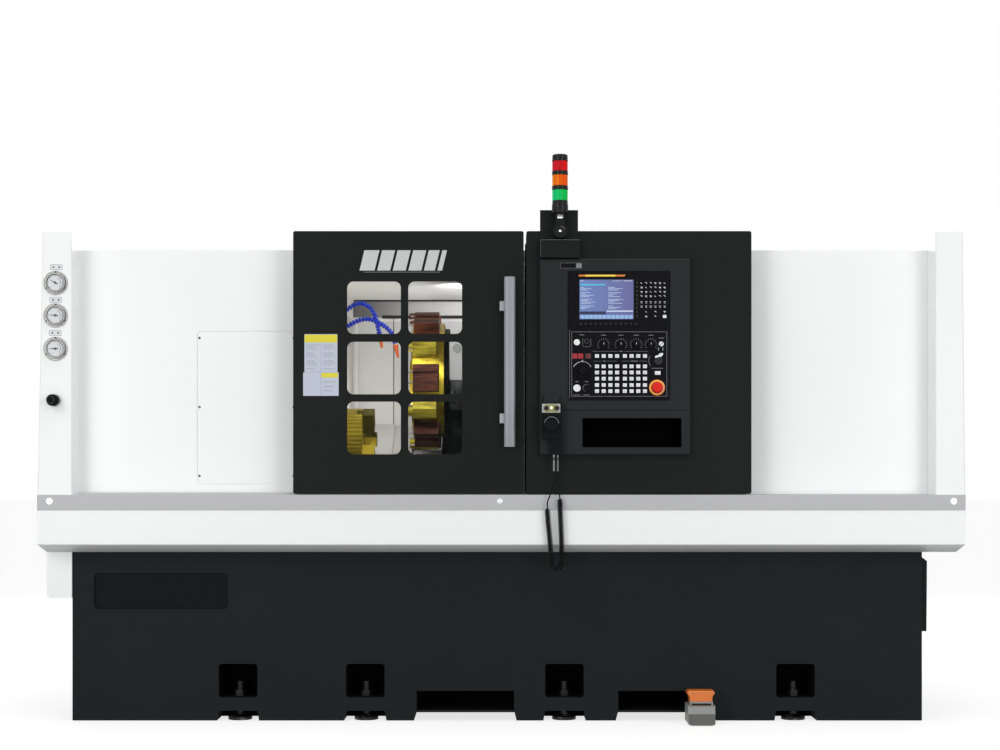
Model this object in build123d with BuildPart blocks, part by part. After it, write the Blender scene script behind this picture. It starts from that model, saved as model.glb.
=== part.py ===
from build123d import *
import os
from math import cos, degrees, radians, sin, tan

os.makedirs("parts", exist_ok=True)

# A slant-bed turning lathe. Millimetres, +Z up, floor at z = 0, the operator stands at -Y,
# and the origin is the centre of the footprint.

# Levels and planes of the enclosure
half_width = 1785
base_bottom = 2
base_top = 662
bevel_top = 693
apron_top = 826
sill_top = 885
door_bottom = sill_top + 3
roof_top = 1822
panel_top = roof_top + 20
post_top = roof_top + 74
door_top = roof_top + 78
sheet = 20
face_y = -845
sill_y = -858
apron_y = -855
post_y = -850
recess_y = -715
rear_y = 640
touch = 0.3
running = 0.06

# Slanted bed: its face is bed_drop below the spindle line, square to the slope
spindle_y = -300
spindle_z = 1108
slope = 30
bed_drop = 420


def facing(y):
    """Upright plane at depth y seen from the operator; a negative extrude goes into the machine"""
    return Plane.XZ.offset(-y)


def across(x):
    """Section plane square to the spindle, with local axes (y, z)"""
    return Plane.YZ.offset(x)


def on_slope(along, above):
    """(y, z) of a point given along the slope from the spindle line and above the bed face"""
    out = above - bed_drop
    y = spindle_y + along * cos(radians(slope)) - out * sin(radians(slope))
    z = spindle_z + along * sin(radians(slope)) + out * cos(radians(slope))
    return (y, z)


def along_at(y, above):
    """Distance along the slope at which a height above the bed face reaches depth y"""
    return (y - on_slope(0, above)[0]) / cos(radians(slope))


def block(x, y, z, mode=Mode.ADD):
    """Box between pairs of limits"""
    with Locations(((x[0] + x[1]) / 2, (y[0] + y[1]) / 2, (z[0] + z[1]) / 2)):
        Box(x[1] - x[0], y[1] - y[0], z[1] - z[0], mode=mode)


def slope_box(along, above):
    """Outline of a rectangle lying on the slope, in a section plane"""
    corners = [(along[0], above[0]), (along[1], above[0]), (along[1], above[1]), (along[0], above[1])]
    Polygon(*[on_slope(*corner) for corner in corners], align=None)


def finish(piece, name):
    """Label a piece and write it"""
    piece.part.label = name
    export_step(piece.part, f"parts/{name}.step")


# Base casting with levelling pockets, and fork tunnels that are closed below
base_inset = (109, 141)
base_left = base_inset[0] - half_width
base_right = half_width - base_inset[1]
base_front = -747
base_rear = 600
base_corner = 8
foot_xs = (-1028, -531, 247, 1149)
foot_inset = 65
pocket_width = 151
pocket_low = 92
pocket_high = 223
pocket_corner = 12
pocket_depth = 130
notch_top = 40
notch_flare = 7
tunnels = ((-331, 50), (457, 827))
tunnel_top = 118
tunnel_flare = 10
tunnel_floor = (34, 42)
plate_recess_x = (base_left + 86, base_left + 609)
plate_recess_z = (437, 578)
plate_recess_corner = 20
plate_recess_depth = 8
bolt_radius = 15

foot_ys = (base_front + foot_inset, base_rear - foot_inset)
foot_places = [(x, y) for x in foot_xs for y in foot_ys]

with BuildPart() as base_casting:
    with BuildSketch(Plane.XY.offset(base_bottom)):
        with Locations(((base_left + base_right) / 2, (base_front + base_rear) / 2)):
            RectangleRounded(base_right - base_left, base_rear - base_front, base_corner)
    extrude(amount=base_top - base_bottom)
    with BuildSketch(facing(base_front)):
        for left, right in tunnels:
            Polygon(
                (left - tunnel_flare, base_bottom),
                (left, notch_top),
                (left, tunnel_top),
                (right, tunnel_top),
                (right, notch_top),
                (right + tunnel_flare, base_bottom),
                align=None,
            )
    extrude(amount=base_front - base_rear, mode=Mode.SUBTRACT)
    for left, right in tunnels:
        block((left - tunnel_flare, right + tunnel_flare), (base_front, base_rear), tunnel_floor)
    for y, inward in ((base_front, -1), (base_rear, 1)):
        with BuildSketch(facing(y)):
            for x in foot_xs:
                with Locations((x, (pocket_low + pocket_high) / 2)):
                    RectangleRounded(pocket_width, pocket_high - pocket_low, pocket_corner)
                Polygon(
                    (x - pocket_width / 2 - notch_flare, base_bottom),
                    (x - pocket_width / 2, notch_top),
                    (x + pocket_width / 2, notch_top),
                    (x + pocket_width / 2 + notch_flare, base_bottom),
                    align=None,
                )
        extrude(amount=inward * pocket_depth, mode=Mode.SUBTRACT)
    with Locations(*[(x, y, pocket_low) for x, y in foot_places]):
        Hole(bolt_radius + touch, depth=pocket_low - notch_top)
    with BuildSketch(facing(base_front)):
        with Locations((sum(plate_recess_x) / 2, sum(plate_recess_z) / 2)):
            RectangleRounded(
                plate_recess_x[1] - plate_recess_x[0],
                plate_recess_z[1] - plate_recess_z[0],
                plate_recess_corner,
            )
    extrude(amount=-plate_recess_depth, mode=Mode.SUBTRACT)
finish(base_casting, "base_casting")

# Levelling feet: a round pad with a domed crown, a jack bolt and its hexagon nut
pad_radius = 47
pad_edge = 12
pad_crown = 10
crown_lip = 5
bolt_top = 150
nut_radius = 26
nut_height = 24

with BuildPart() as levelling_feet:
    with Locations(*[(x, y, 0) for x, y in foot_places]):
        Cylinder(pad_radius, pad_edge, align=(Align.CENTER, Align.CENTER, Align.MIN))
    with Locations(*[(x, y, pad_edge) for x, y in foot_places]):
        Cone(pad_radius, bolt_radius + crown_lip, pad_crown, align=(Align.CENTER, Align.CENTER, Align.MIN))
        Cylinder(bolt_radius, bolt_top - pad_edge, align=(Align.CENTER, Align.CENTER, Align.MIN))
    with BuildSketch(Plane.XY.offset(pocket_low)):
        with Locations(*foot_places):
            RegularPolygon(nut_radius, 6)
    extrude(amount=nut_height)
finish(levelling_feet, "levelling_feet")

# Apron: the white tray round the machine, its lower edge folded back
apron_back = rear_y
bevel_depth = 65
bevel_inset = 20
well_x = (base_left + 426, base_right - 244)
well_y = (-640, 560)

with BuildPart() as apron_tray:
    with BuildSketch(Plane.XY.offset(base_top)):
        with Locations((0, (apron_y + bevel_depth + apron_back) / 2)):
            Rectangle(2 * (half_width - bevel_inset), apron_back - apron_y - bevel_depth)
    with BuildSketch(Plane.XY.offset(bevel_top)):
        with Locations((0, (apron_y + apron_back) / 2)):
            Rectangle(2 * half_width, apron_back - apron_y)
    loft()
    with BuildSketch(Plane.XY.offset(bevel_top)):
        with Locations((0, (apron_y + apron_back) / 2)):
            Rectangle(2 * half_width, apron_back - apron_y)
    extrude(amount=apron_top - bevel_top)
    block(well_x, well_y, (base_top, apron_top), Mode.SUBTRACT)
finish(apron_tray, "apron_tray")

# End housings: their inner faces, feet and heads, leaning in a little towards the top
left_post = {"inner": 132 - half_width, "foot": -half_width, "head": 20 - half_width}
right_post = {"inner": half_width - 114, "foot": half_width, "head": half_width - 9}
post_edge = 5
long_edge = 900

# Sill strip with the raised rail that the door rolls on
sill_back = -700
rail_y = -797
rail_width = 6
rail_height = 8
rail_end_gap = 13
rail_x = (left_post["inner"] + rail_end_gap, 90)

with BuildPart() as sill_strip:
    block((-half_width, half_width), (sill_y, sill_back), (apron_top, sill_top))
    block(
        rail_x,
        (rail_y - rail_width / 2, rail_y + rail_width / 2),
        (sill_top, sill_top + rail_height),
    )
finish(sill_strip, "sill_strip")


def end_housing(post):
    """Full-depth end housing that stands on the sill in front and on the apron behind"""
    with BuildPart() as housing:
        with BuildSketch(facing(post_y)):
            Polygon(
                (post["foot"], sill_top),
                (post["inner"], sill_top),
                (post["inner"], post_top),
                (post["head"], post_top),
                align=None,
            )
        extrude(amount=post_y - rear_y)
        front_edges = housing.edges().filter_by_position(Axis.Y, post_y, post_y)
        fillet(front_edges.filter_by(lambda edge: edge.length > long_edge), post_edge)
        ends = sorted((post["inner"], post["foot"]))
        block(ends, (sill_back, rear_y), (apron_top, sill_top))
    return housing


finish(end_housing(left_post), "left_end_housing")
finish(end_housing(right_post), "right_end_housing")

# Recessed front panels either side of the work opening, and the screwed access cover
opening_x = (-676, 60)
cover_x = (-1193, -805)
cover_z = (925, 1525)
cover_corner = 20
cover_pocket = 4
cover_gap = 1.5
cover_land = 20
cover_centre = (sum(cover_x) / 2, sum(cover_z) / 2)
cover_size = (cover_x[1] - cover_x[0], cover_z[1] - cover_z[0])
recess_back = recess_y + sheet

with BuildPart() as left_front_panel:
    block((left_post["inner"], opening_x[0]), (recess_y, recess_back), (sill_top, panel_top))
    with BuildSketch(facing(recess_y)):
        with Locations(cover_centre):
            RectangleRounded(*cover_size, cover_corner)
    extrude(amount=-cover_pocket, mode=Mode.SUBTRACT)
    with BuildSketch(facing(recess_y)):
        with Locations(cover_centre):
            RectangleRounded(*[side - 2 * cover_land for side in cover_size], cover_corner)
    extrude(amount=-sheet, mode=Mode.SUBTRACT)
finish(left_front_panel, "left_front_panel")

with BuildPart() as right_front_panel:
    block((opening_x[1], right_post["inner"]), (recess_y, recess_back), (sill_top, panel_top))
finish(right_front_panel, "right_front_panel")

with BuildPart() as access_cover:
    with BuildSketch(facing(recess_y + touch)):
        with Locations(cover_centre):
            RectangleRounded(*[side - 2 * cover_gap for side in cover_size], cover_corner - cover_gap)
    extrude(amount=touch - cover_pocket)
finish(access_cover, "access_cover")

# Roof with the header over the work opening and shallow stiffening ribs
header_height = 62
rib_height = 8
rib_width = 60
rib_xs = range(-1200, 1201, 600)

with BuildPart() as roof_panel:
    block((left_post["inner"], right_post["inner"]), (recess_back, rear_y), (roof_top - sheet, roof_top))
    block(opening_x, (recess_y, recess_back), (panel_top - header_height, panel_top))
    with Locations(*[(x, (recess_back + rear_y) / 2, roof_top + rib_height / 2) for x in rib_xs]):
        Box(rib_width, rear_y - recess_back - 2 * rib_width, rib_height)
finish(roof_panel, "roof_panel")

# Rear panel with two louvred vents
vent_rows = 7
vent_pitch = 44
vent_size = (300, 16)
vent_xs = (-1250, -850)
vent_z = 1300

with BuildPart() as rear_panel:
    block((left_post["inner"], right_post["inner"]), (rear_y - sheet, rear_y), (apron_top, roof_top - sheet))
    with BuildSketch(facing(rear_y)):
        with Locations(*[(x, vent_z) for x in vent_xs]):
            with GridLocations(0, vent_pitch, 1, vent_rows):
                SlotOverall(*vent_size)
    extrude(amount=sheet, mode=Mode.SUBTRACT)
finish(rear_panel, "rear_panel")

# Small boxes under the apron's left end and on the base's right side
side_box_x = (10 - half_width, base_left)
side_box_z = (481, base_top)
side_box_y = (base_front, -300)
side_box_bevel = 12
cover_reach = 25
cover_slope = 7
side_cover_z = (348, 637)
side_cover_y = (-720, -430)

with BuildPart() as side_box:
    block(side_box_x, side_box_y, side_box_z)
    chamfer(side_box.edges().filter_by(Axis.Y).group_by(Axis.Z)[0].sort_by(Axis.X)[0], side_box_bevel)
finish(side_box, "side_box")

with BuildPart() as base_side_cover:
    with BuildSketch(facing(side_cover_y[0])):
        Polygon(
            (base_right, side_cover_z[0]),
            (base_right + cover_reach - 2, side_cover_z[0]),
            (base_right + cover_reach, side_cover_z[1] - 2 * cover_slope),
            (base_right + cover_slope, side_cover_z[1]),
            (base_right, side_cover_z[1]),
            align=None,
        )
    extrude(amount=side_cover_y[0] - side_cover_y[1])
finish(base_side_cover, "base_side_cover")

# Slanted bed: a triangular casting on the base, with cored windows and screw bearings
bed_x = (well_x[0] + 50, well_x[1] - 20)
bed_along = 620
bed_rear = 470
core_xs = range(-990, 1211, 440)
core_length = 300
core_height = 180
core_depth = 180
core_corner = 25
core_rise = 60
rail_section = (45, 50)
carriage_rails = (-60, 540)
tail_rail_section = (40, 40)
tail_rails = (60, 260)
rail_right = bed_x[1] - 45
carriage_rail_x = (-640, rail_right)
tail_rail_x = (480, rail_right)
screw_along = 420
screw_above = 30
screw_radius = 20
journal_radius = 15
journal_length = 22
bearing_x = (carriage_rail_x[0], rail_right + 5)
bearing_half = 30
servo_length = 190
servo_half = 55
toe_along = (base_top - on_slope(0, 0)[1]) / sin(radians(slope))

with BuildPart() as slant_bed:
    with BuildSketch(across(bed_x[0])):
        Polygon(
            on_slope(toe_along, 0),
            on_slope(bed_along, 0),
            (bed_rear, on_slope(bed_along, 0)[1]),
            (bed_rear, base_top),
            align=None,
        )
    extrude(amount=bed_x[1] - bed_x[0])
    with BuildSketch(facing(bed_rear)):
        for x in core_xs:
            with Locations((x, base_top + core_rise + core_height / 2)):
                RectangleRounded(core_length, core_height, core_corner)
    extrude(amount=core_depth, mode=Mode.SUBTRACT)
    for x, outward in ((bearing_x[0], -1), (bearing_x[1], 1)):
        with BuildSketch(across(x)):
            slope_box(
                (screw_along - bearing_half, screw_along + bearing_half),
                (0, screw_above + bearing_half),
            )
        extrude(amount=outward * journal_length)
        with BuildSketch(across(x)):
            with Locations(on_slope(screw_along, screw_above)):
                Circle(journal_radius + running)
        extrude(amount=outward * journal_length, mode=Mode.SUBTRACT)
finish(slant_bed, "slant_bed")

with BuildPart() as bed_rails:
    for rails, section, span in (
        (carriage_rails, rail_section, carriage_rail_x),
        (tail_rails, tail_rail_section, tail_rail_x),
    ):
        with BuildSketch(across(span[0])):
            for along in rails:
                slope_box((along - section[0] / 2, along + section[0] / 2), (0, section[1]))
        extrude(amount=span[1] - span[0])
finish(bed_rails, "bed_rails")

with BuildPart() as feed_screw:
    with BuildSketch(across(bearing_x[0] + touch)):
        with Locations(on_slope(screw_along, screw_above)):
            Circle(screw_radius)
    extrude(amount=bearing_x[1] - bearing_x[0] - 2 * touch)
    with BuildSketch(across(bearing_x[0] - journal_length)):
        with Locations(on_slope(screw_along, screw_above)):
            Circle(journal_radius)
    extrude(amount=bearing_x[1] - bearing_x[0] + 2 * journal_length)
finish(feed_screw, "feed_screw")

# Bulkhead between the headstock compartment and the work zone
wall_y = 486
skin = 6
lining_back = wall_y + 2 * skin
bulkhead_x = (-700, -676)
chuck_hole = 140
work_right = bed_x[1]
compartment = [
    (recess_back, roof_top - sheet),
    (recess_back, apron_top),
    (well_y[0], apron_top),
    (well_y[0], base_top),
    on_slope(toe_along, 0),
    on_slope(along_at(lining_back, 0), 0),
    (lining_back, roof_top - sheet),
]

with BuildPart() as bulkhead:
    with BuildSketch(across(bulkhead_x[0])):
        Polygon(*compartment, align=None)
        with Locations((spindle_y, spindle_z)):
            Circle(chuck_hole, mode=Mode.SUBTRACT)
    extrude(amount=bulkhead_x[1] - bulkhead_x[0])
finish(bulkhead, "bulkhead")

# Inner lining: panelled back wall, raised upper band, sloped top cover and right wall
wall_bottom = 1165
wall_top = roof_top - 149
band_z = (roof_top - 142, roof_top - 72)
band_y = wall_y - skin
seam = 3
seam_xs = (-651.5, -489, 100, 700)
cover_fold = (300, roof_top - sheet - 4)
cover_front = (60, roof_top - sheet)

with BuildPart() as inner_lining:
    work_x = (bulkhead_x[1], work_right)
    block(work_x, (wall_y + skin, lining_back), (wall_bottom, band_z[1] + skin))
    block(work_x, (wall_y, wall_y + skin), (wall_bottom, wall_top))
    block(work_x, (band_y, wall_y + skin), band_z)
    for x in seam_xs:
        block((x - seam / 2, x + seam / 2), (wall_y, wall_y + skin - 1), (wall_bottom, wall_top), Mode.SUBTRACT)
    with BuildSketch(across(work_x[0])):
        Polygon(
            (lining_back, band_z[1] + skin),
            (wall_y, band_z[1] + skin),
            (cover_fold[0], cover_fold[1] - skin),
            (cover_front[0], cover_front[1] - skin),
            cover_front,
            (cover_fold[0], cover_front[1]),
            (lining_back, band_z[1] + 2 * skin),
            align=None,
        )
    extrude(amount=work_x[1] - work_x[0])
    with BuildSketch(across(work_right)):
        Polygon(*compartment, align=None)
    extrude(amount=skin)
finish(inner_lining, "inner_lining")

# Chip guards: trough in front of the bed and the stepped telescopic cover by the chuck
trough_y = (well_y[0], -345)
trough_lip = 696
guard_front = -250
guard_steps = ((-676, -580, 100), (-590, -485, 94), (-495, -400, 88))

with BuildPart() as chip_guards:
    with BuildSketch(across(bulkhead_x[1])):
        Polygon(
            (trough_y[0], apron_top - skin),
            (trough_y[0], base_top),
            (trough_y[1], base_top),
            (trough_y[1], trough_lip),
            (trough_y[1] - skin, trough_lip),
            (trough_y[1] - skin, base_top + skin),
            (trough_y[0] + skin, base_top + skin),
            (trough_y[0] + skin, apron_top - skin),
            align=None,
        )
    extrude(amount=work_right - bulkhead_x[1])
    for left, right, above in guard_steps:
        with BuildSketch(across(left)):
            slope_box((guard_front, along_at(wall_y - seam, above)), (above, above + skin))
        extrude(amount=right - left)
finish(chip_guards, "chip_guards")

# Headstock casting, built-in motor and spindle
headstock_x = (-1150, bulkhead_x[0])
headstock_section = ((-120, 0), (430, 0), (430, 60), (150, 510), (-165, 480))
housing_radius = 175
spindle_bore = 95
draw_bore = 38
motor_x = (-1440, headstock_x[0])
motor_radius = 165
motor_flange = 30
rotor_radius = 60
fin_count = 8
fin_size = (60, 40)
shell_depth = 12
spindle_end = -1560
end_collar = 80
relief_x = (-1060, -850)
relief_depth = 15
spindle_flange = 110
spindle_bevel = 8
chuck_back = -693

with BuildPart() as headstock:
    with BuildSketch(across(headstock_x[0])):
        Polygon(*[on_slope(*corner) for corner in headstock_section], align=None)
        with Locations((spindle_y, spindle_z)):
            Circle(housing_radius)
    extrude(amount=headstock_x[1] - headstock_x[0])
    with BuildSketch(across(headstock_x[0])):
        with Locations((spindle_y, spindle_z)):
            Circle(spindle_bore)
    extrude(amount=headstock_x[1] - headstock_x[0], mode=Mode.SUBTRACT)
finish(headstock, "headstock")

with BuildPart() as spindle_motor:
    with BuildSketch(across(motor_x[0])):
        with Locations((spindle_y, spindle_z)):
            Circle(motor_radius)
            Circle(rotor_radius + touch, mode=Mode.SUBTRACT)
    extrude(amount=motor_x[1] - motor_x[0])
    with BuildSketch(across(motor_x[0] + motor_flange)):
        with Locations((spindle_y, spindle_z)):
            Circle(motor_radius)
            Circle(motor_radius - shell_depth, mode=Mode.SUBTRACT)
            with PolarLocations(motor_radius, fin_count):
                Rectangle(*fin_size, mode=Mode.SUBTRACT)
    extrude(amount=motor_x[1] - motor_x[0] - 2 * motor_flange, mode=Mode.SUBTRACT)
finish(spindle_motor, "spindle_motor")

with BuildPart() as spindle:
    with BuildSketch(Plane((0, spindle_y, spindle_z), x_dir=(1, 0, 0), z_dir=(0, -1, 0))):
        Polygon(
            (spindle_end, draw_bore),
            (spindle_end, spindle_bore - spindle_bevel / 2),
            (spindle_end + spindle_bevel, spindle_bore),
            (spindle_end + end_collar, spindle_bore),
            (spindle_end + end_collar, rotor_radius),
            (headstock_x[0] + touch, rotor_radius),
            (headstock_x[0] + touch, spindle_bore - running),
            (relief_x[0], spindle_bore - running),
            (relief_x[0], spindle_bore - relief_depth),
            (relief_x[1], spindle_bore - relief_depth),
            (relief_x[1], spindle_bore - running),
            (headstock_x[1] + touch, spindle_bore - running),
            (headstock_x[1] + touch, spindle_flange),
            (chuck_back, spindle_flange),
            (chuck_back, draw_bore),
            align=None,
        )
    revolve(axis=Axis((0, spindle_y, spindle_z), (1, 0, 0)))
finish(spindle, "spindle")

# Three-jaw chuck: body with T-slots, stepped jaws that slide in them
chuck_radius = 127
chuck_face = -568
jaw_face = -522
jaw_angles = (0, 120, 240)
slot_neck = (24, 12)
slot_head = (36, 14)
slot_start = 15
jaw_inner = 45
jaw_width = 60
step_width = 8
step_depth = 22
foot_short = 5
rim_bevel = 6
face_bevel = 4

with BuildPart() as chuck_body:
    with BuildSketch(Plane((0, spindle_y, spindle_z), x_dir=(1, 0, 0), z_dir=(0, -1, 0))):
        Polygon(
            (chuck_back, draw_bore),
            (chuck_back, chuck_radius - rim_bevel),
            (chuck_back + rim_bevel, chuck_radius),
            (chuck_face - face_bevel, chuck_radius),
            (chuck_face, chuck_radius - face_bevel),
            (chuck_face, draw_bore),
            align=None,
        )
    revolve(axis=Axis((0, spindle_y, spindle_z), (1, 0, 0)))
    for depth, (width, height) in ((0, slot_neck), (slot_neck[1], slot_head)):
        with BuildSketch(across(chuck_face - depth)):
            with Locations((spindle_y, spindle_z)):
                with PolarLocations(slot_start + chuck_radius / 2, len(jaw_angles)):
                    Rectangle(chuck_radius, width)
        extrude(amount=-height, mode=Mode.SUBTRACT)
finish(chuck_body, "chuck_body")


def chuck_jaw(angle):
    """Jaw with its T-shaped foot in the slot and a stepped gripping block outside"""
    out = Vector(0, cos(radians(angle)), sin(radians(angle)))
    face = Plane((chuck_face, spindle_y, spindle_z), x_dir=out, z_dir=(1, 0, 0))
    foot_end = chuck_radius - foot_short
    with BuildPart() as jaw:
        with BuildSketch(face.offset(touch)):
            with Locations(((jaw_inner + foot_end) / 2, 0)):
                Rectangle(foot_end - jaw_inner, slot_neck[0] - 2 * touch)
        extrude(amount=-slot_neck[1] - 2 * touch)
        with BuildSketch(face.offset(-slot_neck[1] - touch)):
            with Locations(((jaw_inner + foot_end) / 2, 0)):
                Rectangle(foot_end - jaw_inner, slot_head[0] - 2 * touch)
        extrude(amount=2 * touch - slot_head[1])
        with BuildSketch(face.offset(touch)):
            with Locations(((jaw_inner + chuck_radius) / 2, 0)):
                Rectangle(chuck_radius - jaw_inner, jaw_width)
        extrude(amount=jaw_face - chuck_face - touch)
        with BuildSketch(face.offset(jaw_face - chuck_face)):
            Circle(jaw_inner + step_width)
        extrude(amount=-step_depth, mode=Mode.SUBTRACT)
    return jaw


for number, angle in enumerate(jaw_angles, 1):
    finish(chuck_jaw(angle), f"chuck_jaw_{number}")

# Carriage: saddle plate on four guide blocks, with the screw nut and two cross ways
carriage_x = (-262, 160)
saddle_along = (-140, 640)
saddle_above = (60, 130)
block_above = 8
block_half = 45
block_length = 110
nut_half = 35
nut_above = 2
cross_ways = (-200, 70)
way_width = 40
way_height = 20
way_along = (40, 640)

with BuildPart() as carriage:
    with BuildSketch(across(carriage_x[0])):
        slope_box(saddle_along, saddle_above)
    extrude(amount=carriage_x[1] - carriage_x[0])
    for left in (carriage_x[0], carriage_x[1] - block_length):
        with BuildSketch(across(left)):
            for along in carriage_rails:
                slope_box((along - block_half, along + block_half), (block_above, saddle_above[0]))
        extrude(amount=block_length)
    with BuildSketch(across(carriage_x[0] + block_length)):
        slope_box((screw_along - nut_half, screw_along + nut_half), (nut_above, saddle_above[0]))
    extrude(amount=block_length)
    with BuildSketch(across(carriage_x[0])):
        for along in carriage_rails:
            half = rail_section[0] / 2 + touch
            slope_box((along - half, along + half), (0, rail_section[1] + touch))
        with Locations(on_slope(screw_along, screw_above)):
            Circle(screw_radius + touch)
    extrude(amount=carriage_x[1] - carriage_x[0], mode=Mode.SUBTRACT)
    for x in cross_ways:
        with BuildSketch(across(x - way_width / 2)):
            slope_box(way_along, (saddle_above[1], saddle_above[1] + way_height))
        extrude(amount=way_width)
finish(carriage, "carriage")

# Cross slide with the turret head on it
turret_along = 528
turret_centre = on_slope(turret_along, bed_drop)
slide_x = (-235, 120)
slide_along = (290, 655)
slide_top = 190
head_x = (-222, -40)
head_radius = 185
head_foot = 150
slide_edge = 8
head_cover_y = (-45, 57)
head_cover_z = (1366, 1560)
shaft_radius = 60
shaft_end = -150

with BuildPart() as turret_slide:
    with BuildSketch(across(slide_x[0])):
        slope_box(slide_along, (saddle_above[1] + touch, slide_top))
    extrude(amount=slide_x[1] - slide_x[0])
    for x in cross_ways:
        half = way_width / 2 + touch
        with BuildSketch(across(x - half)):
            slope_box(
                (slide_along[0] - 1, slide_along[1] + 1),
                (saddle_above[1], saddle_above[1] + way_height + touch),
            )
        extrude(amount=2 * half, mode=Mode.SUBTRACT)
    with BuildSketch(across(head_x[0])):
        with Locations(turret_centre):
            Circle(head_radius)
        slope_box((turret_along - head_foot, slide_along[1]), (slide_top, bed_drop))
    extrude(amount=head_x[1] - head_x[0])
    block(head_x, head_cover_y, head_cover_z)
    with BuildSketch(across(head_x[0])):
        with Locations(turret_centre):
            Circle(shaft_radius + running)
    extrude(amount=shaft_end - head_x[0], mode=Mode.SUBTRACT)
    fillet(turret_slide.faces().sort_by(Axis.X)[-1].edges(), slide_edge)
finish(turret_slide, "turret_slide")

# Turret disc: twelve flats, a stepped nose, a hub and the indexing shaft
disc_x = (-385, -245)
station_count = 12
disc_apothem = 246
hub_radius = 120
nose_radius = 95
nose_reach = 14
disc_bevel = 6
nose_bevel = 5

with BuildPart() as turret_disc:
    with BuildSketch(across(disc_x[0])):
        with Locations(turret_centre):
            RegularPolygon(
                disc_apothem,
                station_count,
                major_radius=False,
                rotation=180 / station_count,
            )
    extrude(amount=disc_x[1] - disc_x[0])
    chamfer(turret_disc.faces().sort_by(Axis.X)[0].edges(), disc_bevel)
    with BuildSketch(across(disc_x[0])):
        with Locations(turret_centre):
            Circle(nose_radius)
    extrude(amount=-nose_reach)
    chamfer(turret_disc.faces().sort_by(Axis.X)[0].edges(), nose_bevel)
    with BuildSketch(across(disc_x[1])):
        with Locations(turret_centre):
            Circle(hub_radius)
    extrude(amount=head_x[0] - touch - disc_x[1])
    with BuildSketch(across(head_x[0] - touch)):
        with Locations(turret_centre):
            Circle(shaft_radius)
    extrude(amount=shaft_end - head_x[0])
finish(turret_disc, "turret_disc")

# Tool holders on the flats, turning and boring kinds by turns
turning_height = 60
turning_size = (112, 120)
boring_height = 54
boring_size = (100, 84)
holder_left = -377
tool_bore = 16
bore_above = 28
collar_ring = 24
collar_out = 25
tool_slot = 26
slot_depth = 18
holder_taper = 3


def station_plane(number):
    """Plane on one flat of the disc: local x along the spindle, z outwards"""
    angle = radians(number * 360 / station_count)
    out = Vector(0, cos(angle), sin(angle))
    centre = Vector(holder_left, *turret_centre)
    return Plane(centre + out * disc_apothem, x_dir=(1, 0, 0), z_dir=out)


with BuildPart() as tool_holders:
    for number in range(station_count):
        seat = station_plane(number)
        if number % 2 == 0:
            with BuildSketch(seat):
                with Locations((turning_size[0] / 2, 0)):
                    Rectangle(*turning_size)
            extrude(amount=turning_height, taper=holder_taper)
            with BuildSketch(seat.offset(turning_height)):
                with Locations((turning_size[0] / 2, tool_slot / 2)):
                    Rectangle(2 * turning_size[0], tool_slot)
            extrude(amount=-slot_depth, mode=Mode.SUBTRACT)
        else:
            end = Plane(seat.origin, x_dir=-seat.y_dir, z_dir=(-1, 0, 0))
            with BuildSketch(end):
                Polygon(
                    (-boring_size[1] / 2, 0),
                    (boring_size[1] / 2, 0),
                    (boring_size[1] / 2, boring_height / 2),
                    (boring_size[1] / 4, boring_height),
                    (-boring_size[1] / 4, boring_height),
                    (-boring_size[1] / 2, boring_height / 2),
                    align=None,
                )
            extrude(amount=-boring_size[0])
            with BuildSketch(end):
                with Locations((0, bore_above)):
                    Circle(collar_ring)
            extrude(amount=collar_out)
            with BuildSketch(end.offset(collar_out)):
                with Locations((0, bore_above)):
                    Circle(tool_bore)
            extrude(amount=-boring_size[0] - collar_out, mode=Mode.SUBTRACT)
finish(tool_holders, "tool_holders")

# Tailstock and its quill with the pointed centre
tail_x = (900, 1200)
tail_foot = tail_rail_section[1] + touch
tail_toe = 20
tail_section = ((310, tail_foot), (310, 120), (75, bed_drop), (-75, bed_drop), (-40, 250), (tail_toe, 120))
tail_radius = 80
quill_radius = 40
quill_x = (820, 1140)
quill_bore_end = 1160
centre_tip = 755
centre_length = 35
centre_radius = 20
centre_collar = 32

with BuildPart() as tailstock:
    with BuildSketch(across(tail_x[0])):
        Polygon(on_slope(tail_toe, tail_foot), *[on_slope(*corner) for corner in tail_section], align=None)
        with Locations((spindle_y, spindle_z)):
            Circle(tail_radius)
    extrude(amount=tail_x[1] - tail_x[0])
    with BuildSketch(across(tail_x[0])):
        with Locations((spindle_y, spindle_z)):
            Circle(quill_radius + running)
    extrude(amount=quill_bore_end - tail_x[0], mode=Mode.SUBTRACT)
finish(tailstock, "tailstock")

with BuildPart() as tailstock_quill:
    with BuildSketch(Plane((0, spindle_y, spindle_z), x_dir=(1, 0, 0), z_dir=(0, -1, 0))):
        Polygon(
            (centre_tip, 0),
            (centre_tip + centre_length, centre_radius),
            (centre_tip + centre_length, centre_collar),
            (quill_x[0], centre_collar),
            (quill_x[0], quill_radius),
            (quill_x[1], quill_radius),
            (quill_x[1], 0),
            align=None,
        )
    revolve(axis=Axis((0, spindle_y, spindle_z), (1, 0, 0)))
finish(tailstock_quill, "tailstock_quill")

# Jointed coolant hoses from the bulkhead, each ending in a tapered nozzle
hose_y = -330
hose_radius = 7.5
hose_routes = (
    ((-670, 1614), (-645, 1640), (-583, 1678), (-530, 1644), (-511, 1582), (-503, 1540)),
    ((-670, 1550), (-638, 1576), (-559, 1612), (-491, 1583), (-447, 1545), (-438, 1500)),
)
hose_bend = 22
nozzle_length = 55
nozzle_tip = 3
fitting_radius = 14
fitting_length = 12

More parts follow.
